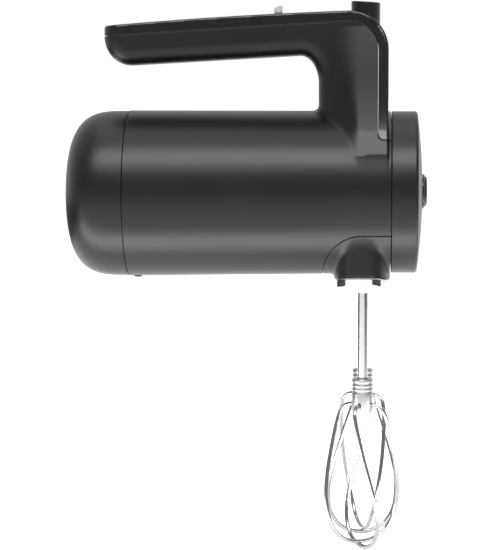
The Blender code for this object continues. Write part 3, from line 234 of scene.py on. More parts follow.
class Value:
    """A number that varies over a surface, on which Python's operators build Math nodes."""

    def __init__(self, graph: Graph, socket: bpy.types.NodeSocket) -> None:
        """Wrap a socket.

        Args:
            graph: the graph that the socket is in.
            socket: the output that gives the number.
        """
        self.graph = graph
        self.socket = socket

    def _math(self, operation: str, first: Any, second: Any) -> "Value":
        """Return a Math node's result."""
        made = self.graph.node("Math", {"operation": operation}, in_0=first, in_1=second)
        return Value(self.graph, made.outputs[0])

    def __add__(self, other: Any) -> "Value":
        """Return self + other."""
        return self._math("ADD", self, other)

    def __radd__(self, other: Any) -> "Value":
        """Return other + self."""
        return self._math("ADD", other, self)

    def __sub__(self, other: Any) -> "Value":
        """Return self - other."""
        return self._math("SUBTRACT", self, other)

    def __rsub__(self, other: Any) -> "Value":
        """Return other - self."""
        return self._math("SUBTRACT", other, self)

    def __mul__(self, other: Any) -> "Value":
        """Return self * other."""
        return self._math("MULTIPLY", self, other)

    def __rmul__(self, other: Any) -> "Value":
        """Return other * self."""
        return self._math("MULTIPLY", other, self)


class Finish:
    """A finish that makes its material once and then shares it."""

    _made: dict[str, bpy.types.Material] = {}

    def build(self) -> bpy.types.Material:
        """Make the material; each finish has its own way."""
        raise NotImplementedError

    def material(self) -> bpy.types.Material:
        """Return the finish's material, made on first use."""
        key = repr(self)
        if key not in Finish._made:
            Finish._made[key] = self.build()
        return Finish._made[key]


@dataclass(frozen=True, repr=True)
class SatinPlastic(Finish):
    """Moulded plastic with a fine spark-eroded grain and a soft sheen."""

    name: str
    colour: tuple[float, float, float] = (0.0034, 0.0034, 0.0037)
    roughness: float = 0.36
    grain: float = 0.10
    specular: float = 0.21

    def build(self) -> bpy.types.Material:
        """Make the grained plastic."""
        graph = Graph(self.name)
        grain = graph.noise(1900.0, 3.0, 0.6)
        cloud = graph.noise(26.0, 2.0)
        lighter = tuple(1.28 * c for c in self.colour)
        return graph.finish(
            Base_Color=graph.blend(cloud, self.colour, lighter),
            Roughness=self.roughness - 0.04 + 0.08 * cloud + 0.05 * (grain - 0.5),
            Specular_IOR_Level=self.specular,
            Normal=graph.bump(grain, self.grain, 0.06 * MM))


@dataclass(frozen=True, repr=True)
class PolishedPlastic(Finish):
    """Glossy plastic with faint hairlines and the slight waviness of a moulding."""

    name: str
    colour: tuple[float, float, float] = (0.0045, 0.0045, 0.005)
    roughness: float = 0.10
    specular: float = 0.25

    def build(self) -> bpy.types.Material:
        """Make the glossy plastic."""
        graph = Graph(self.name)
        wave = graph.noise(45.0, 1.0)
        hairs = graph.noise(900.0, 2.0, 0.5, (0.06, 1.0, 1.0))
        scuffs = graph.ramp(graph.noise(160.0, 4.0, 0.6), ((0.55, 0.0), (0.78, 1.0)))
        return graph.finish(
            Base_Color=graph.blend(wave, self.colour, tuple(1.5 * c for c in self.colour)),
            Roughness=self.roughness + 0.05 * scuffs + 0.03 * hairs,
            Specular_IOR_Level=self.specular,
            Normal=graph.bump(wave + 0.06 * hairs, 0.05, 0.12 * MM))


@dataclass(frozen=True, repr=True)
class Plating(Finish):
    """Bright plated or polished metal with faint marks of wiping."""

    name: str
    colour: tuple[float, float, float] = (0.86, 0.86, 0.87)
    roughness: float = 0.07
    streaks: tuple[float, float, float] = (1.0, 1.0, 1.0)
    bumpiness: float = 0.03

    def build(self) -> bpy.types.Material:
        """Make the metal."""
        graph = Graph(self.name)
        marks = graph.noise(420.0, 3.0, 0.55, self.streaks)
        cloud = graph.noise(60.0, 2.0)
        darker = tuple(0.86 * c for c in self.colour)
        return graph.finish(
            Base_Color=graph.blend(cloud, darker, self.colour),
            Metallic=1.0,
            Roughness=self.roughness + 0.07 * marks,
            Normal=graph.bump(marks, self.bumpiness, 0.05 * MM))


@dataclass(frozen=True, repr=True)
class Rubber(Finish):
    """Soft black rubber with a dusty, uneven sheen."""

    name: str
    colour: tuple[float, float, float] = (0.012, 0.012, 0.012)

    def build(self) -> bpy.types.Material:
        """Make the rubber."""
        graph = Graph(self.name)
        dust = graph.noise(700.0, 4.0, 0.6)
        return graph.finish(
            Base_Color=graph.blend(dust, self.colour, tuple(2.0 * c for c in self.colour)),
            Roughness=0.68 + 0.2 * dust,
            Specular_IOR_Level=0.3,
            Normal=graph.bump(dust, 0.15, 0.08 * MM))


@dataclass(frozen=True, repr=True)
class InnerPlastic(Finish):
    """Unpainted moulding inside the mixer, speckled with its filler."""

    name: str
    colour: tuple[float, float, float]
    speck: float = 0.35
    roughness: float = 0.5

    def build(self) -> bpy.types.Material:
        """Make the speckled plastic."""
        graph = Graph(self.name)
        specks = graph.ramp(graph.cells(700.0), ((0.1, 1.0), (0.35, 0.0)))
        cloud = graph.noise(120.0, 3.0)
        return graph.finish(
            Base_Color=graph.blend(specks * self.speck, self.colour, tuple(0.6 * c for c in self.colour)),
            Roughness=self.roughness + 0.15 * (cloud - 0.5),
            Normal=graph.bump(cloud, 0.1, 0.1 * MM))


@dataclass(frozen=True, repr=True)
class Palette:
    """Every finish of the mixer."""

    shell: Finish = SatinPlastic("shell_satin_black")
    front: Finish = SatinPlastic("front_satin_black", roughness=0.36)
    trim: Finish = PolishedPlastic("strip_gloss_black")
    button: Finish = PolishedPlastic("button_gloss_black", roughness=0.13)
    badge: Finish = PolishedPlastic("badge_gloss_black", roughness=0.2)
    chrome: Finish = Plating("ring_chrome", (0.68, 0.68, 0.69))
    wire: Finish = Plating("whisk_wire", (0.34, 0.34, 0.34), 0.13, (1.0, 1.0, 0.15), 0.05)
    shaft: Finish = Plating("shaft_steel", (0.46, 0.46, 0.46), 0.17, (1.0, 1.0, 0.05), 0.06)
    hub: Finish = Plating("hub_steel", (0.33, 0.33, 0.33), 0.26, (0.3, 0.3, 6.0), 0.12)
    silver: Finish = Plating("slider_silver", (0.74, 0.74, 0.75), 0.26, (1.0, 1.0, 1.0), 0.05)
    rubber: Finish = Rubber("flap_rubber")
    steel: Finish = Plating("inner_steel", (0.46, 0.46, 0.47), 0.28, (0.2, 1.0, 1.0), 0.1)
    bronze: Finish = Plating("bush_bronze", (0.50, 0.31, 0.15), 0.35, (1.0, 1.0, 1.0), 0.2)
    copper: Finish = Plating("winding_copper", (0.72, 0.36, 0.19), 0.3, (6.0, 0.2, 0.2), 0.3)
    nylon: Finish = InnerPlastic("natural_nylon", (0.80, 0.79, 0.74), 0.08)
    grey: Finish = InnerPlastic("filled_grey_plastic", (0.16, 0.16, 0.17))
    cell: Finish = InnerPlastic("cell_wrap_blue", (0.03, 0.13, 0.32), 0.05, 0.3)
    board: Finish = InnerPlastic("circuit_board_green", (0.02, 0.13, 0.06), 0.6, 0.4)
    carbon: Finish = InnerPlastic("brush_carbon", (0.03, 0.03, 0.03), 0.5, 0.6)


# ------------------------------------------------------------------ mesh building


def add_piece(name: str, points: Array, faces: Sequence[Sequence[int]], finish: Finish,
              sharp: float = 40.0) -> bpy.types.Object:
    """Make a shaded object of points and faces.

    Args:
        name: the piece's name.
        points: its corners, in metres.
        faces: corner numbers of each face.
        finish: what it is made of.
        sharp: edges steeper than this many degrees stay sharp.

    Returns:
        The new object.
    """
    mesh = bpy.data.meshes.new(name)
    mesh.from_pydata([tuple(map(float, p)) for p in points], [], [tuple(map(int, f)) for f in faces])
    mesh.validate()
    mesh.shade_smooth()
    mesh.set_sharp_from_angle(angle=math.radians(sharp))
    mesh.materials.append(finish.material())
    piece = bpy.data.objects.new(name, mesh)
    bpy.context.scene.collection.objects.link(piece)
    return piece


def swept(rings: Array, closed_around: bool = True, endless: bool = False) -> tuple[Array, list]:
    """Join rings of points with faces.

    Args:
        rings: an array of rings, points and coordinates.
        closed_around: whether each ring returns to its first point.
        endless: whether the last ring joins the first; otherwise both ends are filled.

    Returns:
        The points and the faces.
    """
    count, around = rings.shape[0], rings.shape[1]
    faces = []
    for i in range(count if endless else count - 1):
        n = (i + 1) % count
        for j in range(around if closed_around else around - 1):
            k = (j + 1) % around
            faces.append((i * around + j, i * around + k, n * around + k, n * around + j))
    if not endless:
        faces.append(tuple(range(around - 1, -1, -1)))
        faces.append(tuple((count - 1) * around + j for j in range(around)))
    return rings.reshape(-1, 3), faces


def rounded_path(corners: Sequence[tuple[float, float, float]], steps: int = 5) -> list[tuple[float, float]]:
    """Round the corners of a path.

    Args:
        corners: x, y and the radius of the rounding at each corner.
        steps: points on each rounding.

    Returns:
        The points of the rounded path.
    """
    path: list[tuple[float, float]] = []
    for i, (x, y, radius) in enumerate(corners):
        if radius <= 0.0 or i in (0, len(corners) - 1):
            path.append((x, y))
            continue
        here = np.array((x, y))
        before = np.array(corners[i - 1][:2]) - here
        after = np.array(corners[i + 1][:2]) - here
        reach = min(radius, 0.49 * np.linalg.norm(before), 0.49 * np.linalg.norm(after))
        start = here + before / np.linalg.norm(before) * reach
        end = here + after / np.linalg.norm(after) * reach
        for k in range(steps + 1):
            t = k / steps
            spot = (1 - t) ** 2 * start + 2 * t * (1 - t) * here + t ** 2 * end
            path.append((float(spot[0]), float(spot[1])))
    return path


def turned(profile: Sequence[tuple[float, float]], axis: str, centre: Sequence[float],
           steps: int = 96) -> tuple[Array, list]:
    """Turn a profile about an axis.

    Args:
        profile: radius and height of each point, from the axis round to the axis, or a closed ring.
        axis: "X" or "Z".
        centre: a point on the axis, from which heights count.
        steps: faces round the axis.

    Returns:
        The points and the faces of a closed body.
    """
    angle = np.linspace(0.0, 2.0 * math.pi, steps, endpoint=False)
    points, rows = [], []
    for radius, height in profile:
        if radius <= 1e-9:
            rows.append([len(points)] * steps)
            points.append((0.0, 0.0, height))
            continue
        rows.append(list(range(len(points), len(points) + steps)))
        points += [(radius * math.cos(a), radius * math.sin(a), height) for a in angle]
    on_axis = profile[0][0] <= 1e-9 and profile[-1][0] <= 1e-9
    pairs = list(zip(rows, rows[1:])) + ([] if on_axis else [(rows[-1], rows[0])])
    faces = []
    for low, high in pairs:
        for i in range(steps):
            j = (i + 1) % steps
            face = list(dict.fromkeys((low[i], low[j], high[j], high[i])))
            if len(face) > 2:
                faces.append(face)
    spots = np.array(points)
    if axis == "X":
        spots = spots[:, [2, 0, 1]]
    return spots + np.array(centre), outward(spots, faces)


def outward(points: Array, faces: list) -> list:
    """Return the faces, turned over together if they face inward."""
    volume = 0.0
    for face in faces:
        a = points[face[0]]
        for i in range(1, len(face) - 1):
            volume += float(np.dot(a, np.cross(points[face[i]], points[face[i + 1]])))
    return faces if volume > 0.0 else [list(reversed(face)) for face in faces]


def carve(piece: bpy.types.Object, operation: str, tool: bpy.types.Object, keep: bool = False) -> None:
    """Cut, join or intersect a piece with a tool, which is then taken away.

    Args:
        piece: the object that changes.
        operation: "DIFFERENCE", "UNION" or "INTERSECT".
        tool: the other object.
        keep: whether the tool stays.
    """
    change = piece.modifiers.new("change", "BOOLEAN")
    change.operation = operation
    change.solver = "EXACT"
    change.object = tool
    bpy.context.view_layer.update()
    graph = bpy.context.evaluated_depsgraph_get()
    result = bpy.data.meshes.new_from_object(piece.evaluated_get(graph))
    piece.modifiers.clear()
    piece.data = result
    if not keep:
        bpy.data.objects.remove(tool, do_unlink=True)


def slab(name: str, outline: Sequence[tuple[float, float]], plane: str, low: float, high: float,
         finish: Finish) -> bpy.types.Object:
    """Make a flat-sided body: an outline in plane "XZ" or "XY" from low to high across it."""
    flat = np.array(outline)
    level = np.ones(len(flat))
    stack = {"XZ": lambda h: (flat[:, 0], h * level, flat[:, 1]),
             "XY": lambda h: (flat[:, 0], flat[:, 1], h * level)}[plane]
    points, faces = swept(np.stack([np.stack(stack(h), axis=1) for h in (low, high)]))
    return add_piece(name, points, outward(points, faces), finish, 30.0)


def arc(centre: tuple[float, float], radius: float, start: float, end: float,
        steps: int) -> list[tuple[float, float]]:
    """Return points on an arc, both ends included, with its angles in degrees."""
    angles = np.radians(np.linspace(start, end, steps + 1))
    return [(centre[0] + radius * math.cos(a), centre[1] + radius * math.sin(a)) for a in angles]


# ------------------------------------------------------------------ smooth fields


def round_union(first: Array, second: Array, radius: float) -> Array:
    """Join two distance fields with a fillet of a radius."""
    reach = np.hypot(np.maximum(radius - first, 0.0), np.maximum(radius - second, 0.0))
    return np.maximum(radius, np.minimum(first, second)) - reach


def round_common(first: Array, second: Array, radius: float) -> Array:
    """Keep what two distance fields share, with edges of a radius."""
    reach = np.hypot(np.maximum(radius + first, 0.0), np.maximum(radius + second, 0.0))
    return np.minimum(-radius, np.maximum(first, second)) + reach


def corner_distance(first: Array, second: Array) -> Array:
    """Return the distance to a square corner whose sides face outwards along two directions."""
    outside = np.hypot(np.maximum(first, 0.0), np.maximum(second, 0.0))
    return np.where((first > 0.0) & (second > 0.0), outside, np.maximum(first, second))


def oval_distance(u: Array, v: Array, half: tuple[float, float]) -> Array:
    """Return roughly the distance to an ellipse about the origin; it is zero exactly on it."""
    size = np.maximum(np.hypot(u / half[0], v / half[1]), 1e-6)
    tilt = np.maximum(np.hypot(u / half[0] ** 2, v / half[1] ** 2), 1e-6)
    return size * (size - 1.0) / tilt


def slope_of(field: FieldFunction, points: Array, step: float = 0.02 * MM) -> Array:
    """Return a field's gradient at points."""
    columns = []
    for axis in range(3):
        shift = np.zeros(3)
        shift[axis] = step
        columns.append((field(points + shift) - field(points - shift)) / (2.0 * step))
    return np.stack(columns, axis=1)


def settle(field: FieldFunction, points: Array, rounds: int) -> Array:
    """Move points onto a field's zero surface by Newton's method."""
    for _ in range(rounds):
        slope = slope_of(field, points)
        size = np.maximum((slope ** 2).sum(axis=1), 0.05)
        step = field(points) / size
        points = points - np.clip(step, -2.0 * MM, 2.0 * MM)[:, None] * slope
    return points


def surface_net(field: FieldFunction, low: Sequence[float], high: Sequence[float],
                step: float) -> tuple[Array, Array]:
    """Wrap a field's zero surface in an even net of quads.

    Args:
        field: distance, negative inside.
        low: lowest corner of the space that is searched.
        high: its highest corner.
        step: size of the quads.

    Returns:
        The points, which lie on the surface, and the quads.
    """
    axes = [np.arange(a - step, b + 2.0 * step, step) for a, b in zip(low, high)]
    grid = np.stack(np.meshgrid(*axes, indexing="ij"), axis=-1)
    inside = (field(grid.reshape(-1, 3)) < 0.0).reshape(grid.shape[:3])
    for edge in (0, -1):
        inside[edge] = False
        inside[:, edge] = False
        inside[:, :, edge] = False
    total = sum(inside[i:i - 1 or None, j:j - 1 or None, k:k - 1 or None].astype(np.int8)
                for i in (0, 1) for j in (0, 1) for k in (0, 1))
    active = (total > 0) & (total < 8)
    number = np.full(active.shape, -1)
    number[active] = np.arange(int(active.sum()))
    points = grid[:-1, :-1, :-1][active] + 0.5 * step
    quads = []
    for axis in range(3):
        u, v = [a for a in range(3) if a != axis]
        ahead = np.take(inside, range(1, inside.shape[axis]), axis)
        here = np.take(inside, range(0, inside.shape[axis] - 1), axis)
        cells = np.argwhere(ahead != here)
        cells = cells[(cells[:, u] > 0) & (cells[:, v] > 0)]
        leaving = here[tuple(cells.T)]
        ring = []
        for du, dv in ((-1, -1), (0, -1), (0, 0), (-1, 0)):
            at = cells.copy()
            at[:, u] += du
            at[:, v] += dv
            ring.append(number[tuple(at.T)])
        quad = np.stack(ring, axis=1)
        turn = leaving if axis != 1 else ~leaving
        quad[~turn] = quad[~turn][:, ::-1]
        quads.append(quad)
    faces = np.concatenate(quads)
    points = settle(field, points, 4)
    for _ in range(3):
        points = settle(field, relaxed(points, faces), 2)
    return points, faces


def relaxed(points: Array, quads: Array) -> Array:
    """Move each point to the mean of its neighbours in a net of quads."""
    total = np.zeros_like(points)
    count = np.zeros(len(points))
    for a, b in ((0, 1), (1, 2), (2, 3), (3, 0)):
        for here, there in ((a, b), (b, a)):
            np.add.at(total, quads[:, here], points[quads[:, there]])
            np.add.at(count, quads[:, here], 1.0)
    return total / np.maximum(count, 1.0)[:, None]


# ------------------------------------------------------------------ the mixer's layout


@dataclass(frozen=True)
class Layout:
    """Places that several sub-assemblies share, read from the frame, and the gaps between casings."""

    rear_seam: float
    front_seam: float
    rear_radius: float
    front_radius: float
    front_height: float
    handle_rear: float
    column_front: float
    crest_z: float
    strip_low: float
    nose_seam: float
    nose_rear: float
    spindle: tuple[float, float]
    ring_low: float
    half_gap: float = 0.16 * MM
    column_back: float = 1.85 * MM
    wall: float = 2.2 * MM

    @classmethod
    def from_frame(cls) -> "Layout":
        """Read the layout from the boxes of the frame's nodes."""
        cap_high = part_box("rear_cap")[1]
        bezel_low, bezel_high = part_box("front_bezel")
        strip_low, strip_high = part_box("handle_top_cover")
        nose_low, nose_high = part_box("nose_cover")
        socket_low, socket_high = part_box("left_socket_bezel")
        middle = 0.5 * (socket_low + socket_high)
        return cls(
            rear_seam=cap_high.x + cls.half_gap,
            front_seam=bezel_low.x - cls.half_gap,
            rear_radius=cap_high.y,
            front_radius=bezel_high.y,
            front_height=cap_high.y - bezel_high.y,
            handle_rear=strip_low.x,
            column_front=bezel_low.x - cls.half_gap - cls.column_back,
            crest_z=strip_high.z,
            strip_low=strip_low.z,
            nose_seam=nose_high.z,
            nose_rear=nose_low.x,
            spindle=(middle.x, middle.y),
            ring_low=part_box("socket_ring")[0].z)

    def barrel(self, points: Array) -> Array:
        """Return the distance to the barrel, which narrows slightly towards the front."""
        share = (points[:, 0] - self.rear_seam) / (self.front_seam - self.rear_seam)
        share = np.clip(share, 0.0, 1.2)
        radius = self.rear_radius + (self.front_radius - self.rear_radius) * share
        return np.hypot(points[:, 1], points[:, 2] - self.front_height * share) - radius


# ------------------------------------------------------------------ skins that are cut along seams


@dataclass
class Patch:
    """A stretch of skin: points, triangles, and the field whose zero surface it lies on."""

    points: Array
    triangles: Array
    field: FieldFunction

    def split(self, seam: FieldFunction, level: float, snap: float) -> Array:
        """Cut the triangles along a level line of a seam's function.

        Args:
            seam: the function, in metres, of points.
            level: where to cut.
            snap: points nearer to the line than this are moved onto it.

        Returns:
            For each triangle, whether it lies above the level.
        """
        value = seam(self.points) - level
        near = np.abs(value) < snap
        if near.any():
            self.points[near] = self._onto(self.points[near], seam, level)
            value[near] = 0.0
        corner = value[self.triangles]
        crossing = (corner.max(axis=1) > 0.0) & (corner.min(axis=1) < 0.0)
        made: dict[tuple[int, int], int] = {}
        fresh: list[Array] = []
        count = len(self.points)

        def cut(a: int, b: int) -> int:
            """Return the new point on the edge from a to b."""
            key = (min(a, b), max(a, b))
            if key not in made:
                share = value[a] / (value[a] - value[b])
                made[key] = count + len(fresh)
                fresh.append((1.0 - share) * self.points[a] + share * self.points[b])
            return made[key]

        pieces: list[tuple[int, int, int]] = []
        for triangle in self.triangles[crossing]:
            a, b, c = (int(i) for i in triangle)
            zeros = [i for i in (a, b, c) if value[i] == 0.0]
            if zeros:
                while a != zeros[0]:
                    a, b, c = b, c, a
                m = cut(b, c)
                pieces += [(a, b, m), (a, m, c)]
                continue
            while (value[a] > 0.0) == (value[b] > 0.0) or (value[a] > 0.0) == (value[c] > 0.0):
                a, b, c = b, c, a
            m, n = cut(a, b), cut(a, c)
            pieces += [(a, m, n), (m, b, c), (m, c, n)]
        if fresh:
            added = self._onto(np.array(fresh), seam, level)
            self.points = np.concatenate([self.points, added])
            value = np.concatenate([value, np.zeros(len(added))])
        if pieces:
            self.triangles = np.concatenate([self.triangles[~crossing], np.array(pieces)])
        return value[self.triangles].sum(axis=1) > 0.0

    def _onto(self, points: Array, seam: FieldFunction, level: float) -> Array:
        """Move points onto both the skin and a level line."""
        for _ in range(4):
            slope = slope_of(seam, points)
            size = np.maximum((slope ** 2).sum(axis=1), 0.05)
            points = points - ((seam(points) - level) / size)[:, None] * slope
            points = settle(self.field, points, 1)
        return points

    def parted(self, seam: FieldFunction, half_gap: float, land: float) -> tuple["Patch", "Patch"]:
        """Part the skin along a seam's zero line.

        Args:
            seam: the seam's function, negative on the first patch.
            half_gap: distance of each patch from the line.
            land: width of the narrow row of faces beside the gap, whose outer edge is broken.

        Returns:
            The patch below and the patch above the line.
        """
        snap = 0.3 * land
        for level in (-half_gap - land, half_gap + land, -half_gap):
            self.split(seam, level, snap)
        above = self.split(seam, half_gap, snap)
        value = seam(self.points[self.triangles].mean(axis=1))
        below = ~above & (value < -0.999 * half_gap)
        return self._taken(below), self._taken(above)

    def _taken(self, chosen: Array) -> "Patch":
        """Return a patch of the chosen triangles alone."""
        triangles = self.triangles[chosen]
        used, renumbered = np.unique(triangles, return_inverse=True)
        return Patch(self.points[used], renumbered.reshape(triangles.shape), self.field)

    def thickened(self, name: str, wall: float, broken: float, finish: Finish) -> bpy.types.Object:
        """Make a closed shell of the patch.

        Args:
            name: the piece's name.
            wall: thickness, inwards.
            broken: how far the edge of the skin is drawn in.
            finish: what the shell is made of.

        Returns:
            The new object, shaded by the field's exact normals.
        """
        points, triangles = self.points, self.triangles
        normal = slope_of(self.field, points)
        normal /= np.maximum(np.linalg.norm(normal, axis=1), 1e-9)[:, None]
        edges = np.concatenate([triangles[:, [0, 1]], triangles[:, [1, 2]], triangles[:, [2, 0]]])
        key = np.sort(edges, axis=1)
        key = key[:, 0] * len(points) + key[:, 1]
        _, first, repeats = np.unique(key, return_index=True, return_counts=True)
        border = edges[first[repeats == 1]]
        outer, shade = points.copy(), normal.copy()
        away = np.zeros_like(points)
        for a, b in ((0, 1), (1, 0)):
            along = points[border[:, 1]] - points[border[:, 0]]
            np.add.at(away, border[:, a], np.cross(along, normal[border[:, a]]))
        rim = np.unique(border)
        away[rim] /= np.maximum(np.linalg.norm(away[rim], axis=1), 1e-12)[:, None]
        outer[rim] -= normal[rim] * broken
        shade[rim] = 0.74 * normal[rim] + 0.67 * away[rim]
        inner = points - normal * wall
        total = len(points)
        walls = np.stack([border[:, 1], border[:, 0], border[:, 0] + total, border[:, 1] + total], axis=1)
        faces = triangles.tolist() + (triangles[:, ::-1] + total).tolist() + walls.tolist()
        mesh = bpy.data.meshes.new(name)
        mesh.from_pydata(np.concatenate([outer, inner]).tolist(), [], faces)
        mesh.shade_smooth()
        flat = np.zeros(len(mesh.polygons) * 3)
        mesh.polygons.foreach_get("normal", flat)
        flat = flat.reshape(-1, 3)
        corners = [shade[triangles.ravel()], -normal[triangles[:, ::-1].ravel()],
                   np.repeat(flat[2 * len(triangles):], 4, axis=0)]
        mesh.normals_split_custom_set(np.concatenate(corners).tolist())
        mesh.materials.append(finish.material())
        piece = bpy.data.objects.new(name, mesh)
        bpy.context.scene.collection.objects.link(piece)
        return piece


def triangles_of(quads: Array) -> Array:
    """Return two triangles for each quad."""
    return np.concatenate([quads[:, [0, 1, 2]], quads[:, [0, 2, 3]]])


def box_field(x: Array, y: Array, centre: tuple[float, float], half: tuple[float, float],
              corner: float) -> Array:
    """Return the distance to a rounded rectangle in a plane."""
    dx = np.abs(x - centre[0]) - half[0] + corner
    dy = np.abs(y - centre[1]) - half[1] + corner
    return np.hypot(np.maximum(dx, 0.0), np.maximum(dy, 0.0)) + np.minimum(np.maximum(dx, dy), 0.0) - corner


@dataclass
class Casing:
    """The barrel, handle and nose: one flowing skin, parted into halves, glossy strip and nose cover."""

    layout: Layout
    palette: Palette
    mesh_step: float = 1.15 * MM
    land: float = 0.3 * MM
    broken: float = 0.28 * MM
    half_width: float = 16.0 * MM
    edge: float = 9.0 * MM
    crown_edge: float = 1.2 * MM
    slope: float = math.tan(math.radians(3.5))
    rear_length: float = 15.0 * MM
    underside_rise: float = 24.8 * MM
    gap_half: tuple[float, float] = (10.0 * MM, 15.0 * MM)
    column_depth: float = 37.9 * MM
    column_low: float = 12.0 * MM
    corner: float = 21.0 * MM
    top_fall: float = 7.4 * MM
    strip_depth: float = 5.5 * MM
    strip_foot: float = 3.0 * MM
    foot_fillet: float = 4.0 * MM
    flank_tilt: float = math.tan(math.radians(15.5))
    flank_start: float = 9.5 * MM
    flank_run: float = 24.0 * MM
    flare_drop: float = 31.0 * MM
    flare_rate: float = 2.0
    nose_seam_half: tuple[float, float] = (21.6 * MM, 24.3 * MM)
    nose_half: tuple[float, float] = (15.45 * MM, 37.3 * MM)
    nose_power: float = 3.0
    nose_fillet: float = 2.2 * MM
    saddle: float = 4.1 * MM
    ring_depth: float = 5.9 * MM

    def __post_init__(self) -> None:
        """Work out the places that follow from the layout."""
        lay = self.layout
        self.crest = (lay.column_front - self.corner, lay.crest_z - self.corner)
        self.gap_centre = (lay.column_front - self.column_depth - self.gap_half[0],
                           lay.rear_radius + self.gap_half[1] + 0.1 * MM)
        self.underside_z = lay.rear_radius + self.underside_rise
        self.nose_centre = (lay.spindle[0] - 0.6 * MM, 0.0)

    def seam_z(self, x: Array) -> Array:
        """Return the height of the seam below the glossy strip."""
        return self.layout.crest_z - self.strip_depth - (self.crest[0] - x) * self.slope

    def crown(self, x: Array, z: Array) -> Array:
        """Return the distance to the room under the handle's top line and behind its front face."""
        share = (self.crest[0] - x) / (self.crest[0] - self.layout.handle_rear)
        top = self.layout.crest_z - self.top_fall * (0.62 * share + 0.48 * share ** 2)
        bend = np.hypot(x - self.crest[0], z - self.crest[1]) - self.corner
        ahead = np.where(z > self.crest[1], bend, x - self.layout.column_front)
        return np.where(x < self.crest[0], z - top, ahead)

    def grip(self, x: Array, z: Array) -> Array:
        """Return the distance to the handle's lower outline: its rear end, underside and finger gap."""
        rear_seam = float(self.seam_z(np.array(self.layout.handle_rear)))
        rear = (self.layout.handle_rear + self.rear_length, rear_seam)
        rise = self.gap_centre[1] + self.gap_half[1] - self.underside_z
        under = self.underside_z + rise * (x - rear[0]) / (self.gap_centre[0] - rear[0])
        below = corner_distance(x - self.gap_centre[0], z - under)
        end = oval_distance(x - self.gap_centre[0], z - self.gap_centre[1], self.gap_half)
        shaft = corner_distance(x - self.gap_centre[0] - self.gap_half[0], z - self.gap_centre[1])
        gap = np.minimum(np.minimum(below, end), shaft)
        ellipse = oval_distance(x - rear[0], z - rear[1], (self.rear_length, rear[1] - self.underside_z))
        plain = np.maximum(self.layout.handle_rear - x, -gap)
        return np.where((x < rear[0]) & (z < rear[1]), ellipse, plain)

    def half_width_at(self, x: Array, z: Array) -> Array:
        """Return half the handle's width: even along the grip, spreading downwards on the column."""
        share = np.clip((x - self.gap_centre[0] - self.flank_start) / self.flank_run, 0.0, 1.0)
        share = share * share * (3.0 - 2.0 * share)
        drop = np.clip(self.seam_z(x) - z, 0.0, 72.0 * MM)
        lean = self.flank_tilt * np.maximum(drop - 3.0 * MM, 0.0)
        flare = self.flare_rate * np.maximum(drop - self.flare_drop, 0.0) ** 2
        return self.half_width + share * (lean + flare)

    def upper(self, points: Array) -> Array:
        """Return the distance to the barrel and handle."""
        x, y, z = points.T
        barrel = self.layout.barrel(points)
        handle = round_common(self.grip(x, z), np.abs(y) - self.half_width_at(x, z), self.edge)
        handle = np.maximum(handle, self.column_low - z)
        flowing = round_union(barrel, handle, self.foot_fillet)
        trimmed = round_common(flowing, self.crown(x, z), self.crown_edge)
        return round_union(barrel, trimmed, 0.8 * MM)

    def pillar(self, points: Array) -> Array:
        """Return the distance to the oval pillar of the nose."""
        u = np.abs(points[:, 0] - self.nose_centre[0]) / self.nose_half[0]
        v = np.abs(points[:, 1]) / self.nose_half[1]
        power = self.nose_power
        size = np.maximum((u ** power + v ** power) ** (1.0 / power), 1e-3)
        slope = size ** (1.0 - power) * np.hypot(u ** (power - 1.0) / self.nose_half[0],
                                                 v ** (power - 1.0) / self.nose_half[1])
        oval = (size - 1.0) / np.maximum(slope, 1.0)
        return np.maximum(oval, points[:, 2] + 10.0 * MM)

    def skin(self, points: Array) -> Array:
        """Return the distance to the whole casing."""
        return round_union(self.upper(points), self.pillar(points), self.nose_fillet)

    def strip_seam(self, points: Array) -> Array:
        """Return the seam function of the glossy strip, negative on the strip."""
        x, z = points[:, 0], points[:, 2]
        inner = self.corner - self.strip_depth
        bend = inner - np.hypot(x - self.crest[0], z - self.crest[1])
        front = self.layout.column_front - self.strip_depth - x
        ahead = np.where(z > self.crest[1], bend, front)
        side = np.where(x < self.crest[0], self.seam_z(x) - z, ahead)
        return round_common(side, self.layout.strip_low - z, self.strip_foot)

    def nose_seam(self, points: Array) -> Array:
        """Return the seam function of the nose cover, negative on the cover."""
        x, z = points[:, 0], points[:, 2]
        half = self.nose_seam_half
        centre = (self.layout.nose_rear + half[0], self.layout.nose_seam - half[1])
        ellipse = oval_distance(x - centre[0], z - centre[1], half)
        plain = np.maximum(self.layout.nose_rear - x, z - self.layout.nose_seam)
        return np.where((x < centre[0]) & (z > centre[1]), ellipse, plain)

    def saddle_z(self, y: Array) -> Array:
        """Return the height of the nose cover's lower edge."""
        low = self.layout.ring_low + self.ring_depth + 0.3 * MM
        return low + self.saddle * (y / self.nose_half[1]) ** 2

    def build(self) -> list[bpy.types.Object]:
        """Mesh the skin, part it along its seams and thicken the patches."""
        lay = self.layout
        spare = 9.0 * MM
        low = (lay.handle_rear - 2.0 * MM, -lay.rear_radius - 2.0 * MM, lay.ring_low - 2.0 * MM)
        high = (lay.front_seam + spare, lay.rear_radius + 2.0 * MM, lay.crest_z + 2.0 * MM)
        points, quads = surface_net(self.skin, low, high, self.mesh_step)
        whole = Patch(points, triangles_of(quads), self.skin)
        gap = lay.half_gap
        handle_z = lay.rear_radius + 10.0 * MM

        def rear(p: Array) -> Array:
            """Return the seam function of the rear cap, which the handle overhangs."""
            return np.where(p[:, 2] > handle_z, 20.0 * MM, p[:, 0] - lay.rear_seam)

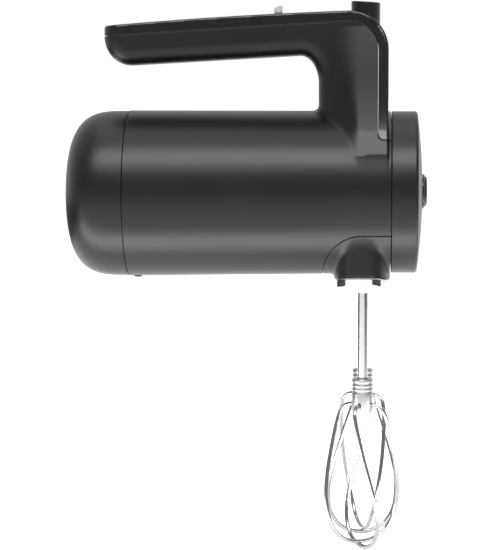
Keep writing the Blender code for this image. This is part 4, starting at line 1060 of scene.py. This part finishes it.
        _, body = whole.parted(rear, gap, self.land)
        body, _ = body.parted(lambda p: p[:, 0] - lay.front_seam, gap, self.land)
        strip, body = body.parted(self.strip_seam, gap, self.land)
        nose, body = body.parted(self.nose_seam, gap, self.land)
        _, nose = nose.parted(lambda p: p[:, 2] - self.saddle_z(p[:, 1]), 0.1 * MM, self.land)
        body = self.cut_flap_hole(body)
        right, left = body.parted(lambda p: p[:, 1], gap, self.land)
        strip = self.cut_strip(strip)
        pal = self.palette
        made = []
        for name, patch, finish in (("housing_right_shell", right, pal.shell),
                                    ("housing_left_shell", left, pal.shell),
                                    ("handle_strip", strip, pal.trim),
                                    ("nose_shell", nose, pal.shell)):
            made.append(patch.thickened(name, lay.wall, self.broken, finish))
        for piece, node, slot in zip(made, ("housing_right", "housing_left", "handle_top_cover",
                                            "nose_cover"),
                                     ("matte_black", "matte_black", "gloss_black", "matte_black")):
            place(piece, "housing", slot, node)
        return made

    def cut_flap_hole(self, body: Patch) -> Patch:
        """Cut the hole of the charging port out of the underside."""
        low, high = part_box("charge_port_flap")
        centre, half = 0.5 * (low + high), 0.5 * (high - low)

        def hole(p: Array) -> Array:
            """Return the hole's function, negative in it."""
            spread = box_field(p[:, 0], p[:, 1], (centre.x, 0.0),
                               (half.x + 0.35 * MM, half.y + 0.35 * MM), 1.0 * MM)
            return np.where(p[:, 2] < 0.0, spread, 30.0 * MM)

        return body.parted(hole, 0.02 * MM, self.land)[1]

    def cut_strip(self, strip: Patch) -> Patch:
        """Cut the button's hole and the slider's slot out of the glossy strip."""
        low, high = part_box("eject_button")
        button, radius = 0.5 * (low.x + high.x), 0.5 * (high.y - low.y) + 0.35 * MM
        knob_low, knob_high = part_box("speed_slider_knob")
        travel = next(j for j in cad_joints() if j["name"] == "speed_slide")["range_m"][1]
        near, far = knob_low.x + 0.6 * MM, knob_high.x + travel - 0.2 * MM
        slot_half = (0.5 * (far - near), 2.3 * MM)

        def hole(p: Array) -> Array:
            """Return the function of the button's hole."""
            spread = np.hypot(p[:, 0] - button, p[:, 1]) - radius
            return np.where(p[:, 2] > self.crest[1], spread, 30.0 * MM)

        def slot(p: Array) -> Array:
            """Return the function of the slider's slot."""
            spread = box_field(p[:, 0], p[:, 1], (0.5 * (near + far), 0.0), slot_half, 1.2 * MM)
            return np.where(p[:, 2] > self.crest[1], spread, 30.0 * MM)

        strip = strip.parted(hole, 0.02 * MM, self.land)[1]
        return strip.parted(slot, 0.02 * MM, self.land)[1]


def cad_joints() -> list[dict[str, Any]]:
    """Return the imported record's joints."""
    return FRAME["joints"]


def place(piece: bpy.types.Object, body: str, slot: str, *nodes: str) -> None:
    """Let a piece ride on a body, in place of CAD nodes."""
    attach(piece, body)
    if nodes:
        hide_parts(*nodes)
    LOG.info("%s rides on %s", piece.name, body)


# ------------------------------------------------------------------ the ends of the barrel


@dataclass
class RearCap:
    """The rounded rear cap with the flat end on which the mixer is stood up."""

    layout: Layout
    palette: Palette
    heel: float = 12.0 * MM
    power: float = 3.3
    points: int = 44
    steps: int = 160

    def outline(self, inset: float) -> list[tuple[float, float]]:
        """Return the cap's outline, smaller by inset, as radius and x."""
        length = self.layout.rear_seam - 2.0 * MM - inset
        radius = self.layout.rear_radius - inset
        path = [(0.0, inset), (self.heel - 1.0 * MM, inset)]
        for i in range(1, self.points + 1):
            angle = math.radians(12.0 + 78.0 * i / self.points)
            run = length * (1.0 - abs(math.cos(angle)) ** (2.0 / self.power))
            path.append((radius * math.sin(angle) ** (2.0 / self.power), inset + run))
        return path

    def build(self) -> bpy.types.Object:
        """Turn the cap about the barrel's axis."""
        end = self.layout.rear_seam - self.layout.half_gap
        broken = 0.28 * MM
        radius = self.layout.rear_radius
        outer = self.outline(0.0) + [(radius, end - broken), (radius - 0.3 * broken, end - 0.3 * broken),
                                     (radius - broken, end)]
        inner = [(radius - self.layout.wall, end)] + self.outline(self.layout.wall)[::-1]
        points, faces = turned(outer + inner, "X", (0.0, 0.0, 0.0), self.steps)
        piece = add_piece("rear_cap_shell", points, faces, self.palette.shell, 35.0)
        place(piece, "housing", "matte_black", "rear_cap")
        return piece


@dataclass
class FrontFace:
    """The front bezel with its softly domed face and the plain glossy badge in the middle."""

    layout: Layout
    palette: Palette
    steps: int = 160
    shoulder: float = 1.8 * MM
    dome: float = 2.8 * MM

    def build(self) -> list[bpy.types.Object]:
        """Turn the bezel and the badge."""
        low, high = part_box("front_bezel")
        radius = self.layout.front_radius
        centre = (0.0, 0.0, self.layout.front_height)
        start = self.layout.front_seam + self.layout.half_gap
        rim = high.x - self.dome
        corner = arc((rim - self.shoulder, radius - self.shoulder), self.shoulder, 90.0, 0.0, 10)
        outer = [(radius - 0.28 * MM, start), (radius, start + 0.28 * MM)]
        outer += [(r, x) for x, r in corner]
        reach = radius - self.shoulder
        outer += [(reach * s, rim + self.dome * (1.0 - s ** 2)) for s in np.linspace(0.97, 0.03, 26)]
        outer.append((0.0, rim + self.dome))
        wall = self.layout.wall
        inner = [(0.0, rim - wall), (radius - 2.2 * wall, rim - wall), (radius - wall, rim - 2.2 * wall),
                 (radius - wall, start)]
        points, faces = turned(outer[::-1] + inner_path(inner), "X", centre, self.steps)
        bezel = add_piece("front_bezel_shell", points, faces, self.palette.front, 35.0)
        place(bezel, "housing", "matte_black", "front_bezel")
        return [bezel, self.badge()]

    def badge(self) -> bpy.types.Object:
        """Turn the badge: a plain disc with a sloping rim and a shallow dish."""
        low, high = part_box("front_badge")
        radius = 0.5 * (high.y - low.y)
        centre = (0.0, 0.0, 0.5 * (low.z + high.z))
        back = low.x - 0.2 * MM
        profile = rounded_path([
            (0.0, back, 0.0), (radius, back, 0.0), (radius, back + 0.5 * MM, 0.2 * MM),
            (radius - 0.7 * MM, high.x - 1.5 * MM, 0.5 * MM), (radius - 2.1 * MM, high.x, 0.5 * MM),
            (radius - 3.0 * MM, high.x - 0.25 * MM, 0.3 * MM), (0.0, high.x - 0.25 * MM, 0.0)], 6)
        points, faces = turned(profile, "X", centre, 96)
        piece = add_piece("front_badge_disc", points, faces, self.palette.badge, 30.0)
        place(piece, "housing", "gloss_black", "front_badge")
        return piece


def inner_path(path: list[tuple[float, float]]) -> list[tuple[float, float]]:
    """Return the inner side of a shell's profile, which ends at the axis, from the rim inwards."""
    return path[::-1]


# ------------------------------------------------------------------ the nose's metal


def oval(half: tuple[float, float], power: float, count: int) -> Array:
    """Return points of a superellipse about the origin, in even steps of its parameter."""
    angle = np.linspace(0.0, 2.0 * math.pi, count, endpoint=False)
    cosine, sine = np.cos(angle), np.sin(angle)
    return np.stack([half[0] * np.sign(cosine) * np.abs(cosine) ** (2.0 / power),
                     half[1] * np.sign(sine) * np.abs(sine) ** (2.0 / power)], axis=1)


@dataclass
class Sockets:
    """The polished oval ring below the nose, the plate inside it and the two socket bezels."""

    layout: Layout
    palette: Palette
    casing: Casing
    around: int = 192

    def build(self) -> list[bpy.types.Object]:
        """Make the ring, the plate and the bezels."""
        return [self.ring(), self.plate()] + [self.bezel(side) for side in Side]

    def ring_row(self, inset: float, drop: float, arched: float = 1.0) -> Array:
        """Return a ring of points on the oval, smaller by inset and below the cover's edge by drop."""
        half = (self.casing.nose_half[0] - inset, self.casing.nose_half[1] - inset)
        flat = oval(half, self.casing.nose_power, self.around)
        height = self.casing.saddle_z(flat[:, 1] * arched) - drop
        return np.column_stack([flat[:, 0] + self.casing.nose_centre[0], flat[:, 1], height])

    def ring(self) -> bpy.types.Object:
        """Sweep the polished ring, whose lower edge is rounded."""
        depth = self.casing.ring_depth - 0.05 * MM
        top = 0.35 * MM
        path = [(2.2 * MM, top), (0.35 * MM, top), (0.08 * MM, top + 0.25 * MM), (0.0, top + 0.6 * MM)]
        path += [(0.0, top + depth * s) for s in (0.25, 0.4, 0.55, 0.66)]
        for angle in range(10, 91, 10):
            swing = math.radians(angle)
            path.append((1.5 * MM * (1.0 - math.cos(swing)), top + depth - 1.5 * MM * (1.0 - math.sin(swing))))
        path += [(2.2 * MM, top + depth)]
        rows = np.stack([self.ring_row(inset, drop) for inset, drop in path])
        points, faces = swept(rows, endless=True)
        piece = add_piece("socket_ring_chrome", points, outward(points, faces), self.palette.chrome, 40.0)
        place(piece, "housing", "chrome", "socket_ring")
        return piece

    def plate(self) -> bpy.types.Object:
        """Make the plate that closes the ring, with a hole for each socket."""
        low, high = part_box("socket_plate")
        rows = []
        for inset, height in ((2.6, low.z), (2.4, low.z + 0.2 * MM), (2.4, high.z)):
            row = self.ring_row(inset * MM, 0.0)
            row[:, 2] = height
            rows.append(row)
        points, faces = swept(np.stack(rows))
        plate = add_piece("socket_plate_black", points, outward(points, faces), self.palette.shell, 30.0)
        for side in Side:
            box_low, box_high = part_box(side.word + "_socket_bezel")
            centre = 0.5 * (box_low + box_high)
            radius = 0.5 * (box_high.x - box_low.x) + 0.2 * MM
            rim = [(0.0, low.z - 2.0 * MM), (radius, low.z - 2.0 * MM), (radius, high.z + 2.0 * MM),
                   (0.0, high.z + 2.0 * MM)]
            spots, sides = turned(rim, "Z", (centre.x, centre.y, 0.0), 96)
            carve(plate, "DIFFERENCE", add_piece("tool", spots, sides, self.palette.shell))
        place(plate, "housing", "matte_black", "socket_plate")
        return plate

    def bezel(self, side: Side) -> bpy.types.Object:
        """Turn one socket bezel: a stepped cup round the whisk's shaft."""
        low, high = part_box(side.word + "_socket_bezel")
        centre = (0.5 * (low.x + high.x), 0.5 * (low.y + high.y), 0.0)
        radius = 0.5 * (high.x - low.x)
        neck, bore = radius - 2.2 * MM, 3.5 * MM
        profile = rounded_path([
            (bore, high.z, 0.0), (bore, low.z, 0.4 * MM), (neck, low.z, 0.9 * MM),
            (neck + 0.25 * MM, low.z + 1.6 * MM, 0.4 * MM), (radius, low.z + 2.2 * MM, 0.8 * MM),
            (radius, high.z, 0.0)], 5)
        points, faces = turned(profile, "Z", centre, 96)
        piece = add_piece(side.word + "_socket_cup", points, faces, self.palette.chrome, 35.0)
        place(piece, "housing", "chrome", side.word + "_socket_bezel")
        return piece


# ------------------------------------------------------------------ controls


@dataclass
class Controls:
    """The eject button with its spring, the speed slider's knob and the charging flap."""

    layout: Layout
    palette: Palette
    casing: Casing

    def build(self) -> list[bpy.types.Object]:
        """Make each control."""
        return [self.button(), self.spring(), self.knob(), self.flap()]

    def button(self) -> bpy.types.Object:
        """Turn the eject button: a low crown on a straight skirt."""
        low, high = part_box("eject_button")
        radius = 0.5 * (high.y - low.y)
        centre = 0.5 * (low.x + high.x)
        crown = [(0.0, high.z, 0.0), (0.5 * radius, high.z - 0.04 * MM, 0.0), (radius, high.z - 0.15 * MM,
                                                                               0.55 * MM),
                 (radius, high.z - 4.0 * MM, 0.0), (radius, low.z, 0.3 * MM), (3.3 * MM, low.z, 0.0),
                 (3.3 * MM, low.z + 4.0 * MM, 0.0), (0.0, low.z + 4.0 * MM, 0.0)]
        points, faces = turned(rounded_path(crown, 6), "Z", (centre, 0.0, 0.0), 128)
        near = np.clip((points[:, 2] - high.z + 4.0 * MM) / (3.0 * MM), 0.0, 1.0)
        points[:, 2] -= near * (points[:, 0] - low.x) * self.casing.slope
        piece = add_piece("eject_button_cap", points, faces, self.palette.button, 50.0)
        place(piece, "eject_control", "gloss_black", "eject_button")
        return piece

    def spring(self) -> bpy.types.Object:
        """Sweep the return spring under the button, as a fixed helix."""
        low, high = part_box("eject_spring")
        wire = 0.5 * MM
        radius = 0.5 * (high.y - low.y) - wire
        turns, per_turn = 5, 36
        angle = np.linspace(0.0, 2.0 * math.pi * turns, turns * per_turn + 1)
        rise = np.linspace(low.z + wire, high.z - wire, len(angle))
        centre = 0.5 * (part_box("eject_button")[0].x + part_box("eject_button")[1].x)
        line = np.column_stack([centre + radius * np.cos(angle), radius * np.sin(angle), rise])
        points, faces = wire_along(line, wire, 10)
        piece = add_piece("eject_return_spring", points, faces, self.palette.steel, 50.0)
        place(piece, "housing", "steel", "eject_spring")
        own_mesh(piece)
        return piece

    def knob(self) -> bpy.types.Object:
        """Make the slider's knob: a ridged silver tab on a narrow neck."""
        low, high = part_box("speed_slider_knob")
        base = float(self.top_at(low.x)) + 0.35 * MM
        rise = float(self.top_at(high.x)) - float(self.top_at(low.x))
        profile = [(low.x, base, 0.2 * MM), (high.x, base + rise, 0.2 * MM), (high.x, high.z - 0.5 * MM,
                                                                              1.0 * MM),
                   (high.x - 0.9 * MM, high.z, 0.5 * MM), (low.x + 1.6 * MM, high.z, 1.2 * MM),
                   (low.x, high.z - 2.0 * MM, 1.2 * MM)]
        outline = rounded_path([profile[-1]] + profile + [profile[0]], 5)[1:-1]
        half, bevel = 0.5 * (high.y - low.y), 0.8 * MM
        middle = np.mean(np.array(outline), axis=0)
        rows = []
        for shrink, reach in ((0.5, 1.0), (0.15, 0.92), (0.0, 0.75), (0.0, 0.0)):
            row = np.array(outline)
            row = row - np.sign(row - middle) * shrink * bevel
            rows.append((row, half - bevel * (1.0 - reach)))
        stack = [np.column_stack([row[:, 0], np.full(len(row), -depth), row[:, 1]]) for row, depth in rows]
        stack += [np.column_stack([row[:, 0], np.full(len(row), depth), row[:, 1]]) for row,
                  depth in rows[::-1]][1:]
        points, faces = swept(np.stack(stack))
        knob = add_piece("speed_slider_tab", points, outward(points, faces), self.palette.silver, 50.0)
        neck = [(low.x + 1.2 * MM, low.z), (high.x - 0.8 * MM, low.z),
                (high.x - 0.8 * MM, base + 1.0 * MM), (low.x + 1.2 * MM, base + 1.0 * MM)]
        carve(knob, "UNION", slab("tool", neck, "XZ", -1.8 * MM, 1.8 * MM, self.palette.silver))
        for x in (low.x + 1.9 * MM, low.x + 3.1 * MM):
            groove = [(x, high.z - 0.35 * MM), (x + 0.5 * MM, high.z - 0.35 * MM),
                      (x + 0.5 * MM, high.z + 1.0 * MM), (x, high.z + 1.0 * MM)]
            carve(knob, "DIFFERENCE", slab("tool", groove, "XZ", -5.4 * MM, 5.4 * MM, self.palette.silver))
        knob.data.shade_smooth()
        knob.data.set_sharp_from_angle(angle=math.radians(40.0))
        place(knob, "speed_slider", "slider_silver", "speed_slider_knob")
        return knob

    def top_at(self, x: float) -> float:
        """Return the height of the strip's top at x."""
        share = (self.casing.crest[0] - x) / (self.casing.crest[0] - self.layout.handle_rear)
        return self.layout.crest_z - self.casing.top_fall * (0.62 * share + 0.48 * share ** 2)

    def flap(self) -> bpy.types.Object:
        """Make the rubber flap of the charging port, with a rounded edge."""
        low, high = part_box("charge_port_flap")
        centre, half = 0.5 * (low + high), 0.5 * (high - low)
        rows = []
        for inset, height in ((0.9, low.z), (0.35, low.z + 0.12 * MM), (0.0, low.z + 0.55 * MM),
                              (0.0, high.z - 0.2 * MM), (0.2, high.z)):
            corner = 1.0 * MM
            reach = (half.x - inset * MM, half.y - inset * MM)
            row = []
            for sx, sy, start in ((1, 1, 0), (-1, 1, 90), (-1, -1, 180), (1, -1, 270)):
                for angle in np.radians(np.linspace(start, start + 90.0, 7)):
                    row.append((centre.x + sx * (reach[0] - corner) + corner * math.cos(angle),
                                sy * (reach[1] - corner) + corner * math.sin(angle), height))
            rows.append(row)
        points, faces = swept(np.array(rows))
        piece = add_piece("charge_flap_rubber", points, outward(points, faces), self.palette.rubber, 60.0)
        place(piece, "charge_flap", "black_rubber", "charge_port_flap")
        return piece


# ------------------------------------------------------------------ whisks


def wire_along(line: Array, radius: float, sides: int) -> tuple[Array, list]:
    """Sweep a round wire along a line of points, with slightly domed ends.

    Args:
        line: the wire's middle line.
        radius: of the wire.
        sides: of its section.

    Returns:
        The points and the faces of a closed body.
    """
    ahead = np.gradient(line, axis=0)
    ahead /= np.linalg.norm(ahead, axis=1)[:, None]
    across = np.array(Vector(ahead[0]).orthogonal().normalized())
    angle = np.linspace(0.0, 2.0 * math.pi, sides, endpoint=False)
    rings = []
    for i, (point, way) in enumerate(zip(line, ahead)):
        across = across - way * np.dot(across, way)
        across /= np.linalg.norm(across)
        side = np.cross(way, across)
        rings.append(point + radius * (np.outer(np.cos(angle), across) + np.outer(np.sin(angle), side)))
    first, last = rings[0], rings[-1]
    ends = (line[0] + 0.75 * (first - line[0]) - 0.25 * radius * ahead[0],
            line[-1] + 0.75 * (last - line[-1]) + 0.25 * radius * ahead[-1])
    points, faces = swept(np.stack([ends[0], *rings, ends[1]]))
    return points, outward(points, faces)


@dataclass
class Whisk:
    """One whisk: a polished shaft, a grooved hub and two crossed loops of wire."""

    side: Side
    palette: Palette
    twist: float = math.radians(50.0)
    wire: float = 1.15 * MM
    samples: int = 74

    def __post_init__(self) -> None:
        """Read the whisk's places from the frame."""
        word = self.side.word
        self.shaft_low, self.shaft_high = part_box(word + "_beater_shaft")
        self.hub_low, self.hub_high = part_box(word + "_beater_hub")
        self.loop_low, self.loop_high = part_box(word + "_beater_loop_low")
        self.centre = (0.5 * (self.shaft_low.x + self.shaft_high.x),
                       0.5 * (self.shaft_low.y + self.shaft_high.y))
        self.exit_z = self.hub_low.z + 3.6 * MM
        self.low_z = self.loop_low.z + self.wire
        self.belly = 20.7 * MM
        self.start = math.radians(-20.0 if self.side is Side.RIGHT else -25.0)

    def build(self) -> list[bpy.types.Object]:
        """Make the shaft, the hub and both loops."""
        made = [self.shaft(), self.hub()]
        for name, quarter, lift in (("low", 1, 0.0), ("high", 0, 2.0 * self.wire + 0.3 * MM)):
            points, faces = wire_along(self.loop(quarter, lift), self.wire, 16)
            piece = add_piece(self.side.word + "_whisk_wire_" + name, points, faces, self.palette.wire, 60.0)
            place(piece, self.side.word + "_beater", "stainless", self.side.word + "_beater_loop_" + name)
            made.append(piece)
        return made

    def shaft(self) -> bpy.types.Object:
        """Turn the shaft, with a chamfered end that finds its socket."""
        radius = 0.5 * (self.shaft_high.x - self.shaft_low.x)
        low, high = self.shaft_low.z, self.shaft_high.z
        profile = rounded_path([
            (0.0, low, 0.0), (radius, low, 0.0), (radius, high - 3.4 * MM, 0.0), (radius, high - 0.9 * MM,
                                                                                  0.4 * MM),
            (radius - 0.9 * MM, high, 0.4 * MM), (0.0, high, 0.0)], 5)
        points, faces = turned(profile, "Z", (*self.centre, 0.0), 64)
        piece = add_piece(self.side.word + "_whisk_shaft", points, faces, self.palette.shaft, 35.0)
        place(piece, self.side.word + "_beater", "stainless", self.side.word + "_beater_shaft")
        return piece

    def hub(self) -> bpy.types.Object:
        """Turn the hub with its grooves, and bore the holes of the wires' ends."""
        low, high = self.hub_low.z, self.hub_high.z
        radius = 0.5 * (self.hub_high.x - self.hub_low.x)
        bore = 0.5 * (self.shaft_high.x - self.shaft_low.x) + 0.2 * MM
        floor = self.shaft_low.z - 0.3 * MM
        corners = [(0.0, low, 0.0), (radius, low, 0.8 * MM)]
        groove = 0.7 * MM
        for i in reversed(range(3)):
            top = high - 2.2 * MM - 2.2 * MM * i
            corners += [(radius, top - 1.1 * MM, 0.25 * MM), (radius - groove, top - 0.85 * MM, 0.2 * MM),
                        (radius - groove, top - 0.25 * MM, 0.2 * MM), (radius, top, 0.25 * MM)]
        corners += [(radius, high, 0.7 * MM), (bore, high, 0.2 * MM), (bore, floor, 0.0), (0.0, floor, 0.0)]
        points, faces = turned(rounded_path(corners, 4), "Z", (*self.centre, 0.0), 96)
        hub = add_piece(self.side.word + "_whisk_hub", points, faces, self.palette.hub)
        for quarter in range(4):
            angle = self.start + 0.5 * math.pi * quarter
            spots, sides = turned([(0.0, 3.1 * MM), (self.wire + 0.2 * MM, 3.1 * MM),
                                   (self.wire + 0.2 * MM, 9.0 * MM), (0.0, 9.0 * MM)], "X", (0.0, 0.0, 0.0),
                                   24)
            turn = np.array(Matrix.Rotation(angle, 3, "Z"))
            spots = spots @ turn.T + np.array((*self.centre, self.exit_z))
            carve(hub, "DIFFERENCE", add_piece("tool", spots, sides, self.palette.hub))
        hub.data.shade_smooth()
        hub.data.set_sharp_from_angle(angle=math.radians(35.0))
        place(hub, self.side.word + "_beater", "hub_metal", self.side.word + "_beater_hub")
        return hub

    def outline(self) -> list[tuple[float, float]]:
        """Return the wire's radius and height from inside the hub to the bottom."""
        exit_z, belly = self.exit_z, self.belly
        wide = exit_z - 52.0 * MM
        return [(3.4 * MM, exit_z), (8.0 * MM, exit_z), (12.0 * MM, exit_z - 2.8 * MM),
                (14.0 * MM, exit_z - 9.0 * MM), (0.82 * belly, exit_z - 25.0 * MM),
                (0.945 * belly, exit_z - 40.0 * MM), (belly, wide), (0.93 * belly, wide - 12.5 * MM),
                (0.68 * belly, wide - 21.5 * MM), (0.34 * belly, self.low_z + 1.0 * MM), (0.0, self.low_z)]

    def loop(self, quarter: int, lift: float) -> Array:
        """Return a loop's middle line: down one side, under the bottom and up the other.

        Args:
            quarter: which pair of holes the loop's ends are in.
            lift: how far the bottom is raised, to cross over the other loop.

        Returns:
            The points of the line.
        """
        half = np.array(even_curve(self.outline(), self.samples))
        shoulder = self.exit_z - 2.8 * MM
        share = np.clip((shoulder - half[:, 1]) / (shoulder - self.low_z), 0.0, 1.0)
        turn = -self.side.value * self.twist * (1.0 - (1.0 - share) ** 1.6)
        angle = self.start + 0.5 * math.pi * quarter + turn
        height = half[:, 1] + lift * share ** 3
        down = np.column_stack([half[:, 0] * np.cos(angle), half[:, 0] * np.sin(angle), height])
        up = down[-2::-1] * np.array((-1.0, -1.0, 1.0))
        return np.concatenate([down, up]) + np.array((*self.centre, 0.0))


def even_curve(points: Sequence[tuple[float, float]], count: int) -> list[tuple[float, float]]:
    """Return evenly spread points of a smooth curve through points; it is level at its last one."""
    first = tuple(2.0 * a - b for a, b in zip(points[0], points[1]))
    path = [first, *points, (-points[-2][0], points[-2][1])]
    dense = []
    for p0, p1, p2, p3 in zip(path, path[1:], path[2:], path[3:]):
        for t in np.linspace(0.0, 1.0, 24, endpoint=False):
            dense.append([0.5 * (2.0 * b + (c - a) * t + (2.0 * a - 5.0 * b + 4.0 * c - d) * t * t
                                 + (3.0 * b - a - 3.0 * c + d) * t ** 3) for a, b, c, d in zip(p0, p1, p2,
                                                                                               p3)])
    dense.append(list(points[-1]))
    line = np.array(dense)
    run = np.concatenate([[0.0], np.cumsum(np.linalg.norm(np.diff(line, axis=0), axis=1))])
    at = np.linspace(0.0, run[-1], count)
    return [(float(r), float(z)) for r, z in zip(np.interp(at, run, line[:, 0]), np.interp(at, run,
                                                                                           line[:, 1]))]


# ------------------------------------------------------------------ what stays from the frame


@dataclass
class Works:
    """The motor, gears, battery and other inner pieces, which keep their shape and get a finish."""

    palette: Palette

    def finishes(self) -> dict[str, Finish]:
        """Return the finish of each inner node."""
        pal = self.palette
        plain: dict[str, Finish] = {
            "eject_rod": pal.nylon, "eject_yoke": pal.nylon, "speed_slider_carriage": pal.grey,
            "speed_detent_spring": pal.steel, "speed_switch_board": pal.board, "control_board": pal.board,
            "motor_can": pal.steel, "motor_end_bell": pal.grey, "motor_front_bearing": pal.bronze,
            "motor_rear_bearing": pal.bronze, "motor_shaft": pal.steel, "rotor_core": pal.copper,
            "commutator": pal.copper, "cooling_fan": pal.grey, "worm": pal.steel, "gearbox_frame": pal.grey,
            "gearbox_cover": pal.grey, "battery_cradle": pal.grey, "charge_socket": pal.grey}
        for side in Side:
            word = side.word
            plain.update({"brush_holder_" + word: pal.carbon, word + "_lower_bush": pal.bronze,
                          word + "_upper_bush": pal.bronze, word + "_worm_wheel": pal.nylon,
                          word + "_spindle": pal.steel})
        plain.update({"gearbox_screw_%d" % (i + 1): pal.steel for i in range(4)})
        plain.update({"battery_cell_%d" % (i + 1): pal.cell for i in range(3)})
        return plain

    def build(self) -> None:
        """Dress every inner node."""
        for name, finish in self.finishes().items():
            node = FRAME["nodes"][name]
            node.data.materials.clear()
            node.data.materials.append(finish.material())
            LOG.info("%s keeps its shape", name)


# ------------------------------------------------------------------ studio


@dataclass
class Studio:
    """A plain pale floor, soft lights and the camera."""

    floor_z: float
    aim: tuple[float, float, float] = (0.099, 0.0, -0.0453)
    distance: float = 1.1494
    yaw: float = math.radians(3.43)
    pitch: float = math.radians(5.87)
    lens: float = 135.56
    card_height: float = 0.15

    def build(self) -> None:
        """Make the floor, the lights, the world and the camera."""
        self.floor()
        self.world()
        self.light("key_softbox", (0.06, -0.76, 1.00), (0.06, 0.0, 0.0), (1.25, 0.50), 29.0)
        self.light("top_softbox", (0.10, 0.15, 1.30), (0.10, 0.05, 0.0), (1.1, 1.0), 5.5)
        low_spot = (0.10, -0.098, self.floor_z + 6.0 * MM)
        self.light("low_strip", low_spot, (0.10, -0.06, 0.0), (0.8, 0.085), 2.3)
        self.card("front_card", (0.70, -0.80), (0.70, 0.11))
        self.card("rear_card", (-0.34, -0.10), (-0.34, 0.85))
        self.camera()

    def floor(self) -> None:
        """Lay the floor, a wide disc."""
        points, faces = turned([(0.0, self.floor_z - 4.0 * MM), (14.0, self.floor_z - 4.0 * MM),
                                (14.0, self.floor_z), (0.0, self.floor_z)], "Z", (0.1, 0.0, 0.0), 128)
        graph = Graph("floor_paper")
        grain = graph.noise(350.0, 3.0)
        pale = graph.blend(grain, (0.84, 0.84, 0.84), (0.88, 0.88, 0.88))
        paper = graph.finish(Base_Color=pale, Roughness=0.7 + 0.1 * grain, Specular_IOR_Level=0.1,
                             Emission_Color=(1.0, 1.0, 1.0, 1.0), Emission_Strength=0.55)
        floor = add_piece("floor", points, faces, PAPER)
        floor.data.materials.clear()
        floor.data.materials.append(paper)
        floor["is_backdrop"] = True

    def card(self, name: str, start: tuple[float, float], end: tuple[float, float]) -> None:
        """Stand a low dark card beside the mixer, for its polished metal to reflect."""
        side = (end[1] - start[1], start[0] - end[0])
        size = math.hypot(*side)
        shift = (0.5 * MM * side[0] / size, 0.5 * MM * side[1] / size)
        corners = [(start[0] + shift[0], start[1] + shift[1]), (end[0] + shift[0], end[1] + shift[1]),
                   (end[0] - shift[0], end[1] - shift[1]), (start[0] - shift[0], start[1] - shift[1])]
        item = slab(name, corners, "XY", self.floor_z, self.floor_z + self.card_height, CARD)
        item.visible_camera = False
        item.visible_shadow = False
        item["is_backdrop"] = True

    @staticmethod
    def world() -> None:
        """Light the room evenly, dimmer on the side that the camera is on."""
        world = bpy.data.worlds.new("room")
        world.use_nodes = True
        nodes, links = world.node_tree.nodes, world.node_tree.links
        nodes.clear()
        place_node = nodes.new("ShaderNodeTexCoord")
        parts = nodes.new("ShaderNodeSeparateXYZ")
        ramp = nodes.new("ShaderNodeMapRange")
        ramp.inputs["From Min"].default_value = -0.35
        ramp.inputs["From Max"].default_value = 0.25
        ramp.inputs["To Min"].default_value = 0.45
        ramp.inputs["To Max"].default_value = 1.0
        background = nodes.new("ShaderNodeBackground")
        output = nodes.new("ShaderNodeOutputWorld")
        links.new(place_node.outputs["Generated"], parts.inputs["Vector"])
        links.new(parts.outputs["Y"], ramp.inputs["Value"])
        links.new(ramp.outputs["Result"], background.inputs["Strength"])
        links.new(background.outputs["Background"], output.inputs["Surface"])
        background.inputs["Color"].default_value = (1.0, 1.0, 1.0, 1.0)
        bpy.context.scene.world = world

    @staticmethod
    def light(name: str, spot: tuple[float, float, float], target: tuple[float, float, float],
              size: tuple[float, float], power: float, spread: float = 180.0) -> None:
        """Hang a soft rectangular light.

        Args:
            name: the light's name.
            spot: where it is.
            target: where it points.
            size: its width and height.
            power: in watts.
            spread: how wide it shines, in degrees.
        """
        lamp = bpy.data.lights.new(name, "AREA")
        lamp.shape = "RECTANGLE"
        lamp.size, lamp.size_y = size
        lamp.energy = power
        lamp.spread = math.radians(spread)
        item = bpy.data.objects.new(name, lamp)
        item.location = spot
        way = Vector(target) - Vector(spot)
        item.rotation_mode = "QUATERNION"
        item.rotation_quaternion = way.to_track_quat("-Z", "Y")
        item.visible_camera = False
        bpy.context.scene.collection.objects.link(item)

    def camera(self) -> None:
        """Set the camera level with the barrel, a little above it."""
        back = Vector((math.sin(self.yaw) * math.cos(self.pitch), -math.cos(self.yaw) * math.cos(self.pitch),
                       math.sin(self.pitch)))
        lens = bpy.data.cameras.new("camera")
        lens.lens = self.lens
        lens.sensor_width = 36.0
        lens.clip_start, lens.clip_end = 0.05, 60.0
        item = bpy.data.objects.new("camera", lens)
        item.location = Vector(self.aim) + back * self.distance
        item.rotation_mode = "QUATERNION"
        item.rotation_quaternion = (-back).to_track_quat("-Z", "Y")
        bpy.context.scene.collection.objects.link(item)
        bpy.context.scene.camera = item


CARD = InnerPlastic("dark_card", (0.012, 0.012, 0.012))
PAPER = InnerPlastic("floor_stand_in", (0.9, 0.9, 0.9))
FRAME: dict[str, Any] = {}


def main() -> None:
    """Load the frame, build each sub-assembly round it, and set up the studio."""
    logging.basicConfig(level=logging.INFO, format="%(name)s: %(message)s")
    FRAME.update(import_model())
    frame_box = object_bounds()
    palette = Palette()
    layout = Layout.from_frame()
    casing = Casing(layout, palette)
    casing.build()
    RearCap(layout, palette).build()
    FrontFace(layout, palette).build()
    Sockets(layout, palette, casing).build()
    Controls(layout, palette, casing).build()
    for side in Side:
        Whisk(side, palette).build()
    Works(palette).build()
    Studio(floor_z=frame_box[0].z - 0.3 * MM).build()
    bpy.context.scene.view_settings.view_transform = "Standard"


if __name__ == "__main__":
    main()
